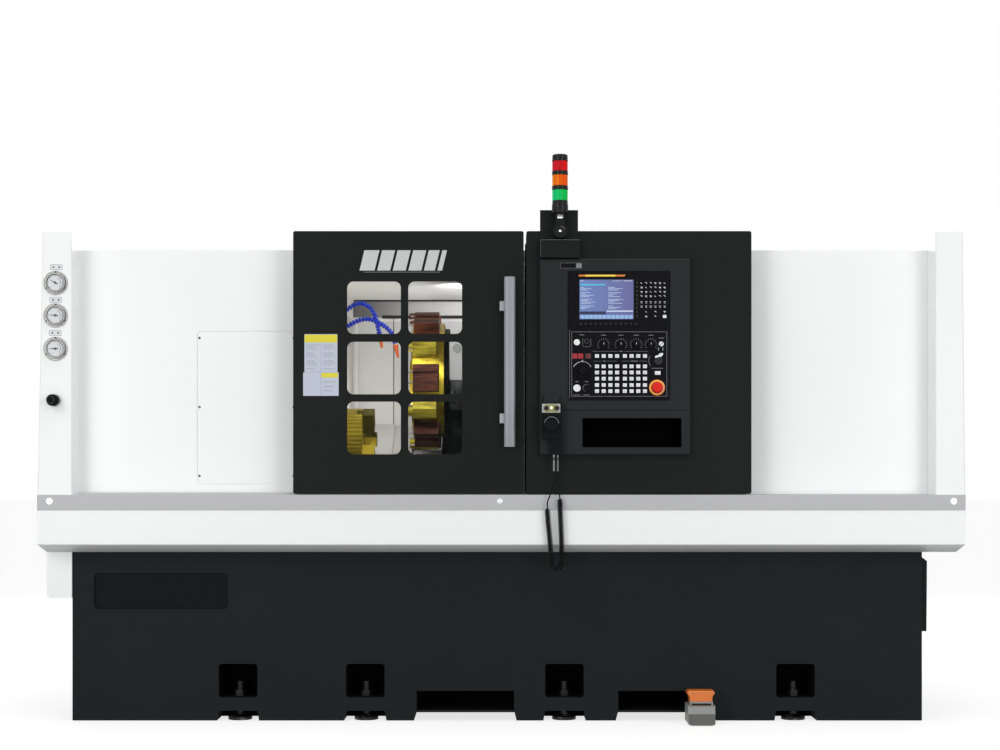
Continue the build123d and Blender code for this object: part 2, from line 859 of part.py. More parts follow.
with BuildPart() as coolant_hoses:
    for route in hose_routes:
        with BuildLine(facing(hose_y)):
            FilletPolyline(*route, radius=hose_bend)
        start = Vector(route[0][0], hose_y, route[0][1])
        first_run = Vector(route[1][0] - route[0][0], 0, route[1][1] - route[0][1])
        with BuildSketch(Plane(start, z_dir=first_run)):
            Circle(hose_radius)
        sweep()
        end = Vector(route[-1][0], hose_y, route[-1][1])
        last_run = Vector(route[-1][0] - route[-2][0], 0, route[-1][1] - route[-2][1])
        with BuildSketch(Plane(end, z_dir=last_run)):
            Circle(hose_radius)
        with BuildSketch(Plane(end + last_run.normalized() * nozzle_length, z_dir=last_run)):
            Circle(nozzle_tip)
        loft()
        with BuildSketch(Plane((bulkhead_x[1], hose_y, route[0][1]), z_dir=(1, 0, 0))):
            Circle(fitting_radius)
        extrude(amount=fitting_length)
finish(coolant_hoses, "coolant_hoses")

# Sliding door: windowed panel with wheels on the rail and guides over the panel edge
door_x = (-801.6, 86.2)
door_depth = 40
door_lip = 15
door_corner = 8
window_size = (207.5, 203)
window_corner = 25
window_xs = (-490.65, -254.9)
window_zs = (1605.5, 1373, 1142)
pane_x = (-618, -127)
pane_z = (1017, 1733)
pane_thick = 6
wheel_radius = 24
wheel_width = 10
door_wheels = (-720, 0)
wheel_arm = (30, 960)
guide_slack = 0.5
guide_leg = 7
guide_half = 25
guide_depth = 16
arm_z = (panel_top + 8, panel_top + 26)
leg_z = (panel_top - guide_depth, arm_z[0])

with BuildPart() as door_panel:
    with BuildSketch(facing(face_y)):
        with Locations((sum(door_x) / 2, (door_bottom + door_top) / 2)):
            RectangleRounded(door_x[1] - door_x[0], door_top - door_bottom, door_corner)
        for x in window_xs:
            for z in window_zs:
                with Locations((x, z)):
                    RectangleRounded(*window_size, window_corner, mode=Mode.SUBTRACT)
    extrude(amount=-door_depth)
    block(pane_x, (face_y + door_lip, face_y + door_depth), pane_z, Mode.SUBTRACT)
    for x in door_wheels:
        block(
            (x - wheel_arm[0], x + wheel_arm[0]),
            (face_y + door_depth, rail_y - wheel_width / 2),
            (sill_top + rail_height + wheel_radius / 2, wheel_arm[1]),
        )
        with BuildSketch(facing(rail_y - wheel_width / 2)):
            with Locations((x, sill_top + rail_height + touch + wheel_radius)):
                Circle(wheel_radius)
        extrude(amount=-wheel_width)
        guide_x = (x - guide_half, x + guide_half)
        block(guide_x, (face_y + door_depth, recess_back + guide_slack + guide_leg), arm_z)
        block(guide_x, (recess_y - guide_slack - guide_leg, recess_y - guide_slack), leg_z)
        block(guide_x, (recess_back + guide_slack, recess_back + guide_slack + guide_leg), leg_z)
finish(door_panel, "door_panel")

with BuildPart() as door_window:
    block(pane_x, (face_y + door_lip, face_y + door_lip + pane_thick), pane_z)
finish(door_window, "door_window")

# Door handle: a bevelled bar on two stand-offs
handle_x = (11, 53)
handle_z = (1069, 1719)
handle_reach = 55
bar_depth = 24
bar_bevel = 7
standoff_zs = (1609, 1178)
standoff_height = 37
standoff_left = 17

with BuildPart() as door_handle:
    with BuildSketch(Plane.XY.offset(handle_z[0])):
        bar_y = (face_y - handle_reach, face_y - handle_reach + bar_depth)
        Polygon(
            (handle_x[0], bar_y[1]),
            (handle_x[0], bar_y[0] + bar_bevel),
            (handle_x[0] + bar_bevel, bar_y[0]),
            (handle_x[1] - bar_bevel, bar_y[0]),
            (handle_x[1], bar_y[0] + bar_bevel),
            (handle_x[1], bar_y[1]),
            align=None,
        )
    extrude(amount=handle_z[1] - handle_z[0])
    for z in standoff_zs:
        block(
            (handle_x[0] - standoff_left, handle_x[1] - bar_bevel),
            (bar_y[1], face_y),
            (z - standoff_height / 2, z + standoff_height / 2),
        )
finish(door_handle, "door_handle")

# Control cabinet with the raised panel housing and the open document tray
cabinet_x = (96.2, 963.3)
cabinet_corner = 8
housing_x = (147, 726)
housing_z = (1038, 1791)
housing_reach = 30
housing_edge = 4
split_z = 1208
split = 4
tray_x = (311, 691)
tray_z = (1067, 1179)
tray_depth = 80
tray_corner = 4
insert_gap = 0.5
insert_depth = 8
insert_thick = 6
display_x = (258, 644)
display_z = (1525, 1741)
keys_x = (261, 641)
keys_z = (1248, 1524)
insert_x = (254, 648)
insert_z = (1246, 1743)
hook_x = (164, 220)
hook_z = (1236, 1263)
hook_reach = 22
housing_y = face_y - housing_reach
insert_floor = housing_y + insert_depth
insert_face = insert_floor - insert_thick

with BuildPart() as operator_cabinet:
    with BuildSketch(facing(face_y)):
        with Locations((sum(cabinet_x) / 2, (door_bottom + door_top) / 2)):
            RectangleRounded(cabinet_x[1] - cabinet_x[0], door_top - door_bottom, cabinet_corner)
    extrude(amount=face_y - recess_y)
    block(tray_x, (face_y, face_y + tray_depth), tray_z, Mode.SUBTRACT)
finish(operator_cabinet, "operator_cabinet")

with BuildPart() as panel_housing:
    block(housing_x, (housing_y, face_y), housing_z)
    chamfer(panel_housing.faces().sort_by(Axis.Y)[0].edges(), housing_edge)
    block(tray_x, (housing_y, face_y), tray_z, Mode.SUBTRACT)
    block(housing_x, (housing_y, housing_y + split), (split_z - split / 2, split_z + split / 2), Mode.SUBTRACT)
    block(insert_x, (housing_y, insert_floor), insert_z, Mode.SUBTRACT)
    block(hook_x, (housing_y - hook_reach, housing_y), hook_z)
finish(panel_housing, "panel_housing")

# Display unit: screen recess, key rows beside and below it and the data keys
screen_x = (299.5, 508)
screen_z = (1558, 1711)
screen_depth = 2
key_rise = 1.4
soft_keys = (12, 19.3, 10, 7)
side_keys = (9, 16, 7, 10)
data_key = (13, 12)
data_centre = 582
data_columns = 6
data_pitch = 17.7
data_rows = (1696.5, 1679.7, 1662.8, 1646, 1622.5, 1606, 1586.5, 1568.5)
row_centre = (410, 1541)
column_centre = (520, 1634)

with BuildPart() as display_unit:
    block(display_x, (insert_face, insert_floor), display_z)
    block(screen_x, (insert_face, insert_face + screen_depth), screen_z, Mode.SUBTRACT)
    with BuildSketch(facing(insert_face)):
        with Locations(row_centre):
            with GridLocations(soft_keys[1], 0, soft_keys[0], 1):
                Rectangle(*soft_keys[2:])
        with Locations(column_centre):
            with GridLocations(0, side_keys[1], 1, side_keys[0]):
                Rectangle(*side_keys[2:])
        with Locations(*[(data_centre, z) for z in data_rows]):
            with GridLocations(data_pitch, 0, data_columns, 1):
                Rectangle(*data_key)
    extrude(amount=key_rise)
finish(display_unit, "display_unit")

# Machine panel: key grid, override knobs, round buttons, stop collar and selector seats
key_size = (17.7, 14.7)
key_pitch_x = 25.7
key_row_zs = (1417, 1377.2, 1353.8, 1330, 1305.6, 1282.3)
key_group_xs = (405.3, 512.2)
panel_key_rise = 2.5
knob_xs = (392.3, 458.5, 517.4, 573.7)
knob_z = 1459
knob_radius = 11
knob_rise = 14
round_buttons = ((292, 1470.5, 12.5), (328.4, 1293.8, 14))
dial_centre = (311.5, 1361)
dial_radius = 34
dial_rise = 3
start_place = (290, 1293.8)
start_radius = 14
button_bore = 9
stop_place = (597, 1296)
collar_radius = 29
collar_rise = 4
stop_radius = 20
selector_place = (601.8, 1399.7)
selector_radius = 16
selector_rise = 14
lever_place = (selector_place[0] + 2.5, selector_place[1] + 18)
lever_size = (34, 9)
lever_turn = 23
spare_key = (599.5, 1352)
spare_key_size = (23, 15)
button_rise = 5
bore_floor = 1

with BuildPart() as machine_panel:
    block(keys_x, (insert_face, insert_floor), keys_z)
    with BuildSketch(facing(insert_face)):
        with Locations(*[(x, z) for x in key_group_xs for z in key_row_zs]):
            with GridLocations(key_pitch_x, 0, 4, 1):
                Rectangle(*key_size)
        with Locations(spare_key):
            Rectangle(*spare_key_size)
    extrude(amount=panel_key_rise)
    with BuildSketch(facing(insert_face)):
        with Locations(*[(x, knob_z) for x in knob_xs]):
            Circle(knob_radius)
    extrude(amount=knob_rise)
    with BuildSketch(facing(insert_face)):
        for x, z, radius in round_buttons:
            with Locations((x, z)):
                Circle(radius)
    extrude(amount=button_rise)
    with BuildSketch(facing(insert_face)):
        with Locations(dial_centre):
            Circle(dial_radius)
    extrude(amount=dial_rise)
    with BuildSketch(facing(insert_face)):
        with Locations(stop_place):
            Circle(collar_radius)
    extrude(amount=collar_rise)
    with BuildSketch(facing(insert_face - collar_rise)):
        with Locations(stop_place, start_place, selector_place):
            Circle(button_bore + touch)
    extrude(amount=bore_floor - insert_thick - collar_rise, mode=Mode.SUBTRACT)
finish(machine_panel, "machine_panel")

stop_travel = 5
stop_rise = 22
start_travel = 2
start_rise = 6
stem_depth = 2.5
stop_edge = 6
start_edge = 1.5

with BuildPart() as stop_button:
    with BuildSketch(facing(insert_face - collar_rise - stop_travel - touch)):
        with Locations(stop_place):
            Circle(stop_radius)
    extrude(amount=stop_rise - stop_travel)
    fillet(stop_button.faces().sort_by(Axis.Y)[0].edges(), stop_edge)
    with BuildSketch(facing(insert_face - collar_rise - stop_travel - touch)):
        with Locations(stop_place):
            Circle(button_bore)
    extrude(amount=-stop_travel - stem_depth)
finish(stop_button, "stop_button")

with BuildPart() as start_button:
    with BuildSketch(facing(insert_face - start_travel - touch)):
        with Locations(start_place):
            Circle(start_radius)
    extrude(amount=start_rise - start_travel)
    fillet(start_button.faces().sort_by(Axis.Y)[0].edges(), start_edge)
    with BuildSketch(facing(insert_face - start_travel - touch)):
        with Locations(start_place):
            Circle(button_bore)
    extrude(amount=-start_travel - stem_depth)
finish(start_button, "start_button")

with BuildPart() as mode_selector:
    with BuildSketch(facing(insert_face - touch)):
        with Locations(selector_place):
            Circle(selector_radius)
    extrude(amount=selector_rise / 2)
    with BuildSketch(facing(insert_face - touch)):
        with Locations(Location(lever_place, lever_turn)):
            SlotOverall(*lever_size)
    extrude(amount=selector_rise)
    with BuildSketch(facing(insert_face - touch)):
        with Locations(selector_place):
            Circle(button_bore)
    extrude(amount=-stem_depth)
finish(mode_selector, "mode_selector")

# Signal tower on a folding joint over its bracket
tower_x = 224.7
tower_y = -884
tower_radius = 30
lens_step = 1
stem_radius = 20
pivot_z = 1894
pivot_radius = 27
plate_x = (149, 295.3)
plate_z = (1861.7, 1980)
plate_y = (-850, face_y)
lamp_box_x = (149, 300.3)
lamp_box_z = (housing_z[1] + 1, 1861.7)
lamp_box_y = (-890, face_y)
tower_levels = (1963.6, 2010.3, 2051.1, 2067, 2108.1, 2123.7, 2161.2, 2187)
tower_crown = 6
pivot_y = (-900, -856)
axle_radius = 8
neck_half = 17
neck_hole_z = 1948.5
neck_hole = (21, 14)
neck_hole_corner = 3
bracket_edge = 3

with BuildPart() as tower_bracket:
    block(plate_x, plate_y, plate_z)
    block(lamp_box_x, lamp_box_y, lamp_box_z)
    chamfer(tower_bracket.faces().sort_by(Axis.Y)[0].edges(), bracket_edge)
    with BuildSketch(facing(face_y)):
        with Locations((tower_x, neck_hole_z)):
            RectangleRounded(*neck_hole, neck_hole_corner)
    extrude(amount=face_y - plate_y[0], mode=Mode.SUBTRACT)
    with BuildSketch(facing(plate_y[0])):
        with Locations((tower_x, pivot_z)):
            Circle(pivot_radius)
    extrude(amount=plate_y[0] - pivot_y[1] - touch)
    with BuildSketch(facing(plate_y[0])):
        with Locations((tower_x, pivot_z)):
            Circle(axle_radius)
    extrude(amount=plate_y[0] - pivot_y[0])
finish(tower_bracket, "tower_bracket")

with BuildPart() as tower_body:
    with BuildSketch(facing(pivot_y[1])):
        with Locations((tower_x, pivot_z)):
            Circle(pivot_radius)
        with Locations((tower_x, (pivot_z + tower_levels[0]) / 2)):
            Rectangle(2 * neck_half, tower_levels[0] - pivot_z)
        with Locations((tower_x, neck_hole_z)):
            RectangleRounded(*neck_hole, neck_hole_corner, mode=Mode.SUBTRACT)
        with Locations((tower_x, pivot_z)):
            Circle(axle_radius + running, mode=Mode.SUBTRACT)
    extrude(amount=pivot_y[1] - pivot_y[0])
    with BuildSketch(Plane.XY.offset(tower_levels[0])):
        with Locations((tower_x, tower_y)):
            Circle(stem_radius)
    extrude(amount=tower_levels[7] - tower_levels[0])
    for low, high in ((0, 1), (2, 3), (4, 5), (6, 7)):
        with BuildSketch(Plane.XY.offset(tower_levels[low])):
            with Locations((tower_x, tower_y)):
                Circle(tower_radius)
        extrude(amount=tower_levels[high] - tower_levels[low])
    fillet(tower_body.faces().sort_by(Axis.Z)[-1].edges(), tower_crown)
finish(tower_body, "tower_body")

for name, low in (("green_lens", 1), ("orange_lens", 3), ("red_lens", 5)):
    with BuildPart() as lens:
        with BuildSketch(Plane.XY.offset(tower_levels[low])):
            with Locations((tower_x, tower_y)):
                Circle(tower_radius - lens_step)
                Circle(stem_radius + touch, mode=Mode.SUBTRACT)
        extrude(amount=tower_levels[low + 1] - tower_levels[low])
    finish(lens, name)

# Pressure gauges on the left post, and the regulator knob under them
gauge_x = left_post["foot"] + 71
gauge_zs = (1699.8, 1574.4, 1446.4)
flange_radius = 46
flange_thick = 4
bezel_radius = 37
bezel_reach = 15
gauge_dial = 33
gauge_recess = 4
knob_place = (left_post["foot"] + 65, 1248)
regulator_radius = 22.5
regulator_neck = 16.5
regulator_tip = 8.5
regulator_reach = 79.7

with BuildPart() as pressure_gauges:
    with BuildSketch(facing(post_y)):
        with Locations(*[(gauge_x, z) for z in gauge_zs]):
            Circle(flange_radius)
    extrude(amount=flange_thick)
    with BuildSketch(facing(post_y - flange_thick)):
        with Locations(*[(gauge_x, z) for z in gauge_zs]):
            Circle(bezel_radius)
    extrude(amount=bezel_reach - flange_thick)
    with BuildSketch(facing(post_y - bezel_reach)):
        with Locations(*[(gauge_x, z) for z in gauge_zs]):
            Circle(gauge_dial)
    extrude(amount=-gauge_recess, mode=Mode.SUBTRACT)
finish(pressure_gauges, "pressure_gauges")

with BuildPart() as regulator_knob:
    with BuildSketch(Plane((knob_place[0], post_y - touch, knob_place[1]), x_dir=(0, -1, 0), z_dir=(1, 0, 0))):
        Polygon(
            (0, 0),
            (0, regulator_radius - 3),
            (3, regulator_radius),
            (34, regulator_radius),
            (38, regulator_neck),
            (regulator_reach - 10, regulator_neck - 3),
            (regulator_reach - 3, regulator_neck - 4),
            (regulator_reach, regulator_tip),
            (regulator_reach, 0),
            align=None,
        )
    revolve(axis=Axis((knob_place[0], 0, knob_place[1]), (0, -1, 0)))
finish(regulator_knob, "regulator_knob")

# Hand pendant hung on the housing, with its dial, glands and curly cord
pendant_x = (155.5, 232.9)
pendant_z = (1099, 1234)
pendant_back = housing_y - touch
pendant_depth = 37
tail_width = (187.5, 235)
tail_z = (1039, 1099)
tail_depth = (6, 30)
pendant_dial_place = (191.5, 1155)
pendant_dial_radius = 30
pendant_dial_rise = 16
pendant_dial_edge = 3
dimple_radius = 7
dimple_out = 16
dimple_depth = 5
pendant_corner = 8
pendant_knob_radius = 7
pendant_knob_rise = 11
pendant_bore_depth = 8
pendant_knobs = (171.7, 211.8)
pendant_knob_z = 1216
gland_bottom = 976
glands = ((201, -893, tail_z[0]), (216.5, -860, housing_z[0]))
gland_radius = 5.5
gland_nut = 6.3
nut_drop = 22
pendant_face = pendant_back - pendant_depth

with BuildPart() as pendant:
    block(pendant_x, (pendant_face, pendant_back), pendant_z)
    fillet(pendant.edges().filter_by(Axis.Y), pendant_corner)
    block(tail_width, (pendant_back - tail_depth[1], pendant_back - tail_depth[0]), tail_z)
    with BuildSketch(facing(pendant_face)):
        with Locations(*[(x, pendant_knob_z) for x in pendant_knobs]):
            Circle(pendant_knob_radius)
    extrude(amount=pendant_knob_rise)
    with BuildSketch(facing(pendant_face)):
        with Locations(pendant_dial_place):
            Circle(button_bore + touch)
    extrude(amount=-pendant_bore_depth, mode=Mode.SUBTRACT)
finish(pendant, "pendant")

with BuildPart() as pendant_dial:
    with BuildSketch(facing(pendant_face - touch)):
        with Locations(pendant_dial_place):
            Circle(pendant_dial_radius)
    extrude(amount=pendant_dial_rise)
    chamfer(pendant_dial.faces().sort_by(Axis.Y)[0].edges(), pendant_dial_edge)
    with BuildSketch(facing(pendant_face - touch - pendant_dial_rise)):
        with Locations((pendant_dial_place[0], pendant_dial_place[1] + dimple_out)):
            Circle(dimple_radius)
    extrude(amount=-dimple_depth, mode=Mode.SUBTRACT)
    with BuildSketch(facing(pendant_face - touch)):
        with Locations(pendant_dial_place):
            Circle(button_bore)
    extrude(amount=bore_floor - pendant_bore_depth)
finish(pendant_dial, "pendant_dial")

with BuildPart() as cable_glands:
    for x, y, top in glands:
        with BuildSketch(Plane.XY.offset(gland_bottom)):
            with Locations((x, y)):
                Circle(gland_radius)
        extrude(amount=top - gland_bottom)
        with BuildSketch(Plane.XY.offset(top - nut_drop)):
            with Locations((x, y)):
                RegularPolygon(gland_nut, 6)
        extrude(amount=nut_drop / 2)
finish(cable_glands, "cable_glands")

cord_radius = 2.8
coil_radius = 11.5
coil_y = -877
left_lead = (
    (201, -893, 976),
    (201, -893, 948),
    (197, -890, 910),
    (185, -882, 880),
    (174.8, coil_y, 853),
    (176, coil_y, 832),
)
coil_route = (
    (176, coil_y, 832),
    (178.5, coil_y, 790),
    (183.5, coil_y, 742),
    (188, coil_y, 694),
    (191, coil_y, 647),
    (191.5, coil_y, 602),
    (231.5, coil_y, 602),
    (232, coil_y, 650),
    (231, coil_y, 704),
    (229, coil_y, 758),
    (226.3, coil_y, 814),
    (224.6, coil_y, 870),
)
right_lead = (
    (224.6, coil_y, 870),
    (224, coil_y, 890),
    (221, -871, 916),
    (216.5, -860, 945),
    (216.5, -860, 976),
)


def corner_radii(points):
    """Largest arc that both runs at each corner have room for"""
    radii = []
    for before, here, after in zip(points, points[1:], points[2:]):
        first = Vector(*here) - Vector(*before)
        second = Vector(*after) - Vector(*here)
        turn = radians(first.get_angle(second))
        radii.append(0.45 * min(first.length, second.length) / tan(turn / 2))
    return radii


def cord_tube(points, radius):
    """Round tube along runs joined by tangent arcs"""
    radii = corner_radii(points)
    with BuildPart() as tube:
        with BuildLine() as path:
            FilletPolyline(*points, radius=radii)
        with BuildSketch(Plane(points[0], z_dir=Vector(*points[1]) - Vector(*points[0]))):
            Circle(radius)
        sweep()
    length = sum(edge.length for edge in path.edges())
    print("cord length", round(length, 1), "radii", [round(r, 1) for r in radii])
    return tube


for name, points, radius in (
    ("cord_lead_left", left_lead, cord_radius),
    ("cord_coil", coil_route, coil_radius),
    ("cord_lead_right", right_lead, cord_radius),
):
    finish(cord_tube(points, radius), name)

# Electrical cabinet on the back with its hinged door
rear_box_x = (250, 1500)
rear_box_y = (rear_y, 895)
rear_box_z = (300, 1700)
rear_wall = 15
hinge_place = (238, 907)
hinge_zs = (480, 980, 1480)
knuckle = 40
knuckle_radius = 9
pin_radius = 5
leaf_thick = 5
rear_door_y = (rear_box_y[1] + touch, 917)
latch_place = (1440, 1000)
latch_rise = 13

with BuildPart() as electrical_cabinet:
    block(rear_box_x, rear_box_y, rear_box_z)
    block(
        (rear_box_x[0] + rear_wall, rear_box_x[1] - rear_wall),
        (rear_box_y[0] + 2 * rear_wall, rear_box_y[1]),
        (rear_box_z[0] + rear_wall, rear_box_z[1] - rear_wall),
        Mode.SUBTRACT,
    )
    with BuildSketch(facing(rear_box_y[0] + 2 * rear_wall)):
        with Locations((875, 1440)):
            with GridLocations(180, 0, 5, 1):
                Rectangle(130, 320)
    extrude(amount=-150)
    with BuildSketch(facing(rear_box_y[0] + 2 * rear_wall)):
        with Locations((875, 1090)):
            with GridLocations(90, 0, 10, 1):
                Rectangle(70, 110)
        with Locations((875, 880)):
            with GridLocations(90, 0, 10, 1):
                Rectangle(70, 90)
        with Locations((720, 520)):
            Rectangle(360, 260)
    extrude(amount=-90)
    for z in hinge_zs:
        block(
            (hinge_place[0], rear_box_x[0]),
            (rear_box_y[1] - 30, rear_box_y[1] - 30 + leaf_thick),
            (z, z + knuckle),
        )
        block(
            (hinge_place[0] - leaf_thick / 2, hinge_place[0] + leaf_thick / 2),
            (rear_box_y[1] - 30, hinge_place[1]),
            (z, z + knuckle),
        )
        with Locations((*hinge_place, z)):
            Cylinder(knuckle_radius, knuckle, align=(Align.CENTER, Align.CENTER, Align.MIN))
            Cylinder(pin_radius, 2 * knuckle, align=(Align.CENTER, Align.CENTER, Align.MIN))
finish(electrical_cabinet, "electrical_cabinet")

with BuildPart() as cabinet_door:
    block((rear_box_x[0] + touch, rear_box_x[1]), rear_door_y, rear_box_z)
    for z in hinge_zs:
        with Locations((*hinge_place, z + knuckle + touch)):
            Cylinder(knuckle_radius, knuckle - touch, align=(Align.CENTER, Align.CENTER, Align.MIN))
        block(
            (hinge_place[0], rear_box_x[0] + touch),
            (hinge_place[1], hinge_place[1] + leaf_thick),
            (z + knuckle + touch, z + 2 * knuckle),
        )
        with Locations((*hinge_place, z + knuckle)):
            Cylinder(
                pin_radius + running,
                knuckle,
                align=(Align.CENTER, Align.CENTER, Align.MIN),
                mode=Mode.SUBTRACT,
            )
    with BuildSketch(facing(rear_door_y[1])):
        with Locations(latch_place):
            SlotOverall(140, 34, rotation=90)
    extrude(amount=-latch_rise)
finish(cabinet_door, "cabinet_door")

# Foot switch on the floor with its sprung pedal
switch_x = 768
switch_half = 52
switch_front = -887
switch_back = -757
switch_top = 76
pedal_axis = (-862, 86)
pedal_tilt = 32
pedal_length = 88
pedal_thick = 6
ear_half = 44
ear_thick = 6
pedal_pin = 4
pedal_knuckle = 7

with BuildPart() as foot_switch:
    with BuildSketch(across(switch_x - switch_half)):
        Polygon(
            (switch_front, 0),
            (switch_front, 24),
            (switch_front + 10, 30),
            (switch_front + 10, 42),
            (switch_front + 4, 44),
            (switch_front + 14, switch_top),
            (switch_back, switch_top),
            (switch_back, 0),
            align=None,
        )
    extrude(amount=2 * switch_half)
    lower = foot_switch.edges().filter_by(Axis.Y).group_by(Axis.Z)[0]
    chamfer(lower, 12, 8)
    for side in (-1, 1):
        ear = sorted((switch_x + side * ear_half, switch_x + side * (ear_half - ear_thick)))
        block(ear, (pedal_axis[0] - 7, pedal_axis[0] + 7), (switch_top, pedal_axis[1] + 7))
    with BuildSketch(across(switch_x - ear_half)):
        with Locations(pedal_axis):
            Circle(pedal_pin)
    extrude(amount=2 * ear_half)
finish(foot_switch, "foot_switch")

with BuildPart() as foot_pedal:
    knuckle_half = ear_half - ear_thick - touch
    with BuildSketch(across(switch_x - knuckle_half)):
        with Locations(pedal_axis):
            Circle(pedal_knuckle)
    extrude(amount=2 * knuckle_half)
    tread = Plane(
        (switch_x, *pedal_axis),
        x_dir=(1, 0, 0),
        z_dir=(0, -sin(radians(pedal_tilt)), cos(radians(pedal_tilt))),
    )
    with BuildSketch(tread.offset(pedal_knuckle - pedal_thick)):
        Polygon(
            (-knuckle_half, 0),
            (knuckle_half, 0),
            (knuckle_half, 12),
            (switch_half, pedal_length - 16),
            (switch_half - 11, pedal_length),
            (11 - switch_half, pedal_length),
            (-switch_half, pedal_length - 16),
            (-knuckle_half, 12),
            align=None,
        )
    extrude(amount=pedal_thick)
    with BuildSketch(across(switch_x - knuckle_half)):
        with Locations(pedal_axis):
            Circle(pedal_pin + running)
    extrude(amount=2 * knuckle_half, mode=Mode.SUBTRACT)
finish(foot_pedal, "foot_pedal")
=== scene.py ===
"""Finishes and small fittings of a slant-bed turning lathe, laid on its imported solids."""

from math import cos, hypot, pi, radians, sin, tau

import bmesh
import bpy
from bpy.props import FloatProperty, FloatVectorProperty, IntProperty, PointerProperty
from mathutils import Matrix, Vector


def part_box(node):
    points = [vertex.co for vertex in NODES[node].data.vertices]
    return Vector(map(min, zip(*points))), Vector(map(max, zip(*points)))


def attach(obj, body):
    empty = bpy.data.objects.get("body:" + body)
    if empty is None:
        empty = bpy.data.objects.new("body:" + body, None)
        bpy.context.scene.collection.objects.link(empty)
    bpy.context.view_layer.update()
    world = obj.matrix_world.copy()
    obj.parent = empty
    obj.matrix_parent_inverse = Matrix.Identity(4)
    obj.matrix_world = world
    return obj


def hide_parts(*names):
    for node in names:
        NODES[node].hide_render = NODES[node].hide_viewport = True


bl_info = {
    "name": "Turning lathe dress",
    "version": (1, 0),
    "blender": (4, 5, 0),
    "location": "View3D > Sidebar > Lathe",
    "description": "Finishes the panels, controls, glazing and running gear of a turning lathe",
    "category": "Object",
}

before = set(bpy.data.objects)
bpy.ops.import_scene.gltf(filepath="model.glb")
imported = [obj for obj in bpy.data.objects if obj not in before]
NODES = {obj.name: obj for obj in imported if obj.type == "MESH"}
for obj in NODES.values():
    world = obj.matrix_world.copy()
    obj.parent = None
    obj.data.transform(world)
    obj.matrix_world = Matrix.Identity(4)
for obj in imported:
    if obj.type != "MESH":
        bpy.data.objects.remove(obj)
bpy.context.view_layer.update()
MM = 0.001

# Depths of the planes that pieces are laid on, in millimetres, from the frame where a box gives them
DOOR_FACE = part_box("operator_cabinet")[0].y / MM
HOUSING_FACE = DOOR_FACE - 30
INSERT_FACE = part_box("display_unit")[1].y / MM - 6
POST_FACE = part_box("left_end_housing")[0].y / MM
SILL_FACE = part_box("sill_strip")[0].y / MM
JOINT_FACE = -900
HEAD_FACE = -45
WALL_FACE = 486

# Axes of the spindle and the turret as (y, z), and of the signal tower as (x, y)
SPINDLE = (-300, 1108)
TURRET = (157.3, 1372)
TOWER = (224.7, -884)

# Heights of the lining's raised band, and the tower's joint
BAND = (1680, 1750)
JOINT_Z = 1894


def screen_colour(red, green, blue):
    """Linear colour of an 8-bit display value"""
    shares = [value / 255 for value in (red, green, blue)]
    return tuple(((c + 0.055) / 1.055) ** 2.4 if c > 0.0393 else c / 12.92 for c in shares) + (1,)


# Settings that a user would change

class PaintSettings(bpy.types.PropertyGroup):
    """Colours of the painted and moulded surfaces"""

    sheet_white: FloatVectorProperty(
        name="Sheet white",
        description="Paint of the posts, front panels and apron",
        subtype="COLOR",
        size=4,
        default=(0.92, 0.93, 0.925, 1),
    )
    door_black: FloatVectorProperty(
        name="Door black",
        description="Paint of the sliding door and the control cabinet",
        subtype="COLOR",
        size=4,
        default=(0.0064, 0.0077, 0.007, 1),
    )
    housing_grey: FloatVectorProperty(
        name="Housing grey",
        description="Paint of the raised panel housing",
        subtype="COLOR",
        size=4,
        default=(0.0145, 0.0156, 0.0167, 1),
    )
    strip_grey: FloatVectorProperty(
        name="Strip grey",
        description="Paint of the sill strip below the door",
        subtype="COLOR",
        size=4,
        default=screen_colour(186, 186, 189),
    )
    base_grey: FloatVectorProperty(
        name="Base grey",
        description="Paint of the base casting",
        subtype="COLOR",
        size=4,
        default=(0.0105, 0.0135, 0.0145, 1),
    )


class FittingSettings(bpy.types.PropertyGroup):
    """Sizes of the small fittings"""

    strip_screw: FloatProperty(
        name="Strip screw",
        description="Radius of the domed screws along the sill strip",
        unit="LENGTH",
        default=0.009,
    )
    cover_screw: FloatProperty(
        name="Cover screw",
        description="Radius of the small screws of the access cover",
        unit="LENGTH",
        default=0.0045,
    )
    print_rise: FloatProperty(
        name="Print rise",
        description="Thickness of printed fields and marks",
        unit="LENGTH",
        default=0.0003,
    )
    edge_round: FloatProperty(
        name="Edge round",
        description="Rounding of the folded sheet's edges",
        unit="LENGTH",
        default=0.002,
    )


class CordSettings(bpy.types.PropertyGroup):
    """The pendant's curly cord"""

    cord_radius: FloatProperty(
        name="Cord radius",
        description="Radius of the cord itself",
        unit="LENGTH",
        default=0.0027,
    )
    helix_radius: FloatProperty(
        name="Helix radius",
        description="Radius of the coil, measured to the cord's centre",
        unit="LENGTH",
        default=0.0088,
    )
    turn_steps: IntProperty(
        name="Steps in a turn",
        description="Points of the cord's spline in each turn of the coil",
        default=12,
    )


class StageSettings(bpy.types.PropertyGroup):
    """The camera"""

    focal: FloatProperty(
        name="Focal length",
        description="Lens of the camera, in millimetres",
        default=65.45,
    )
    distance: FloatProperty(
        name="Distance",
        description="From the camera to the door's face",
        unit="LENGTH",
        default=7.0,
    )
    eye_height: FloatProperty(
        name="Eye height",
        description="Height of the camera over the floor",
        unit="LENGTH",
        default=0.98,
    )
    frame_shift: FloatProperty(
        name="Frame shift",
        description="Rise of the picture over the horizon, in picture widths",
        default=0.095,
    )


# Shader building

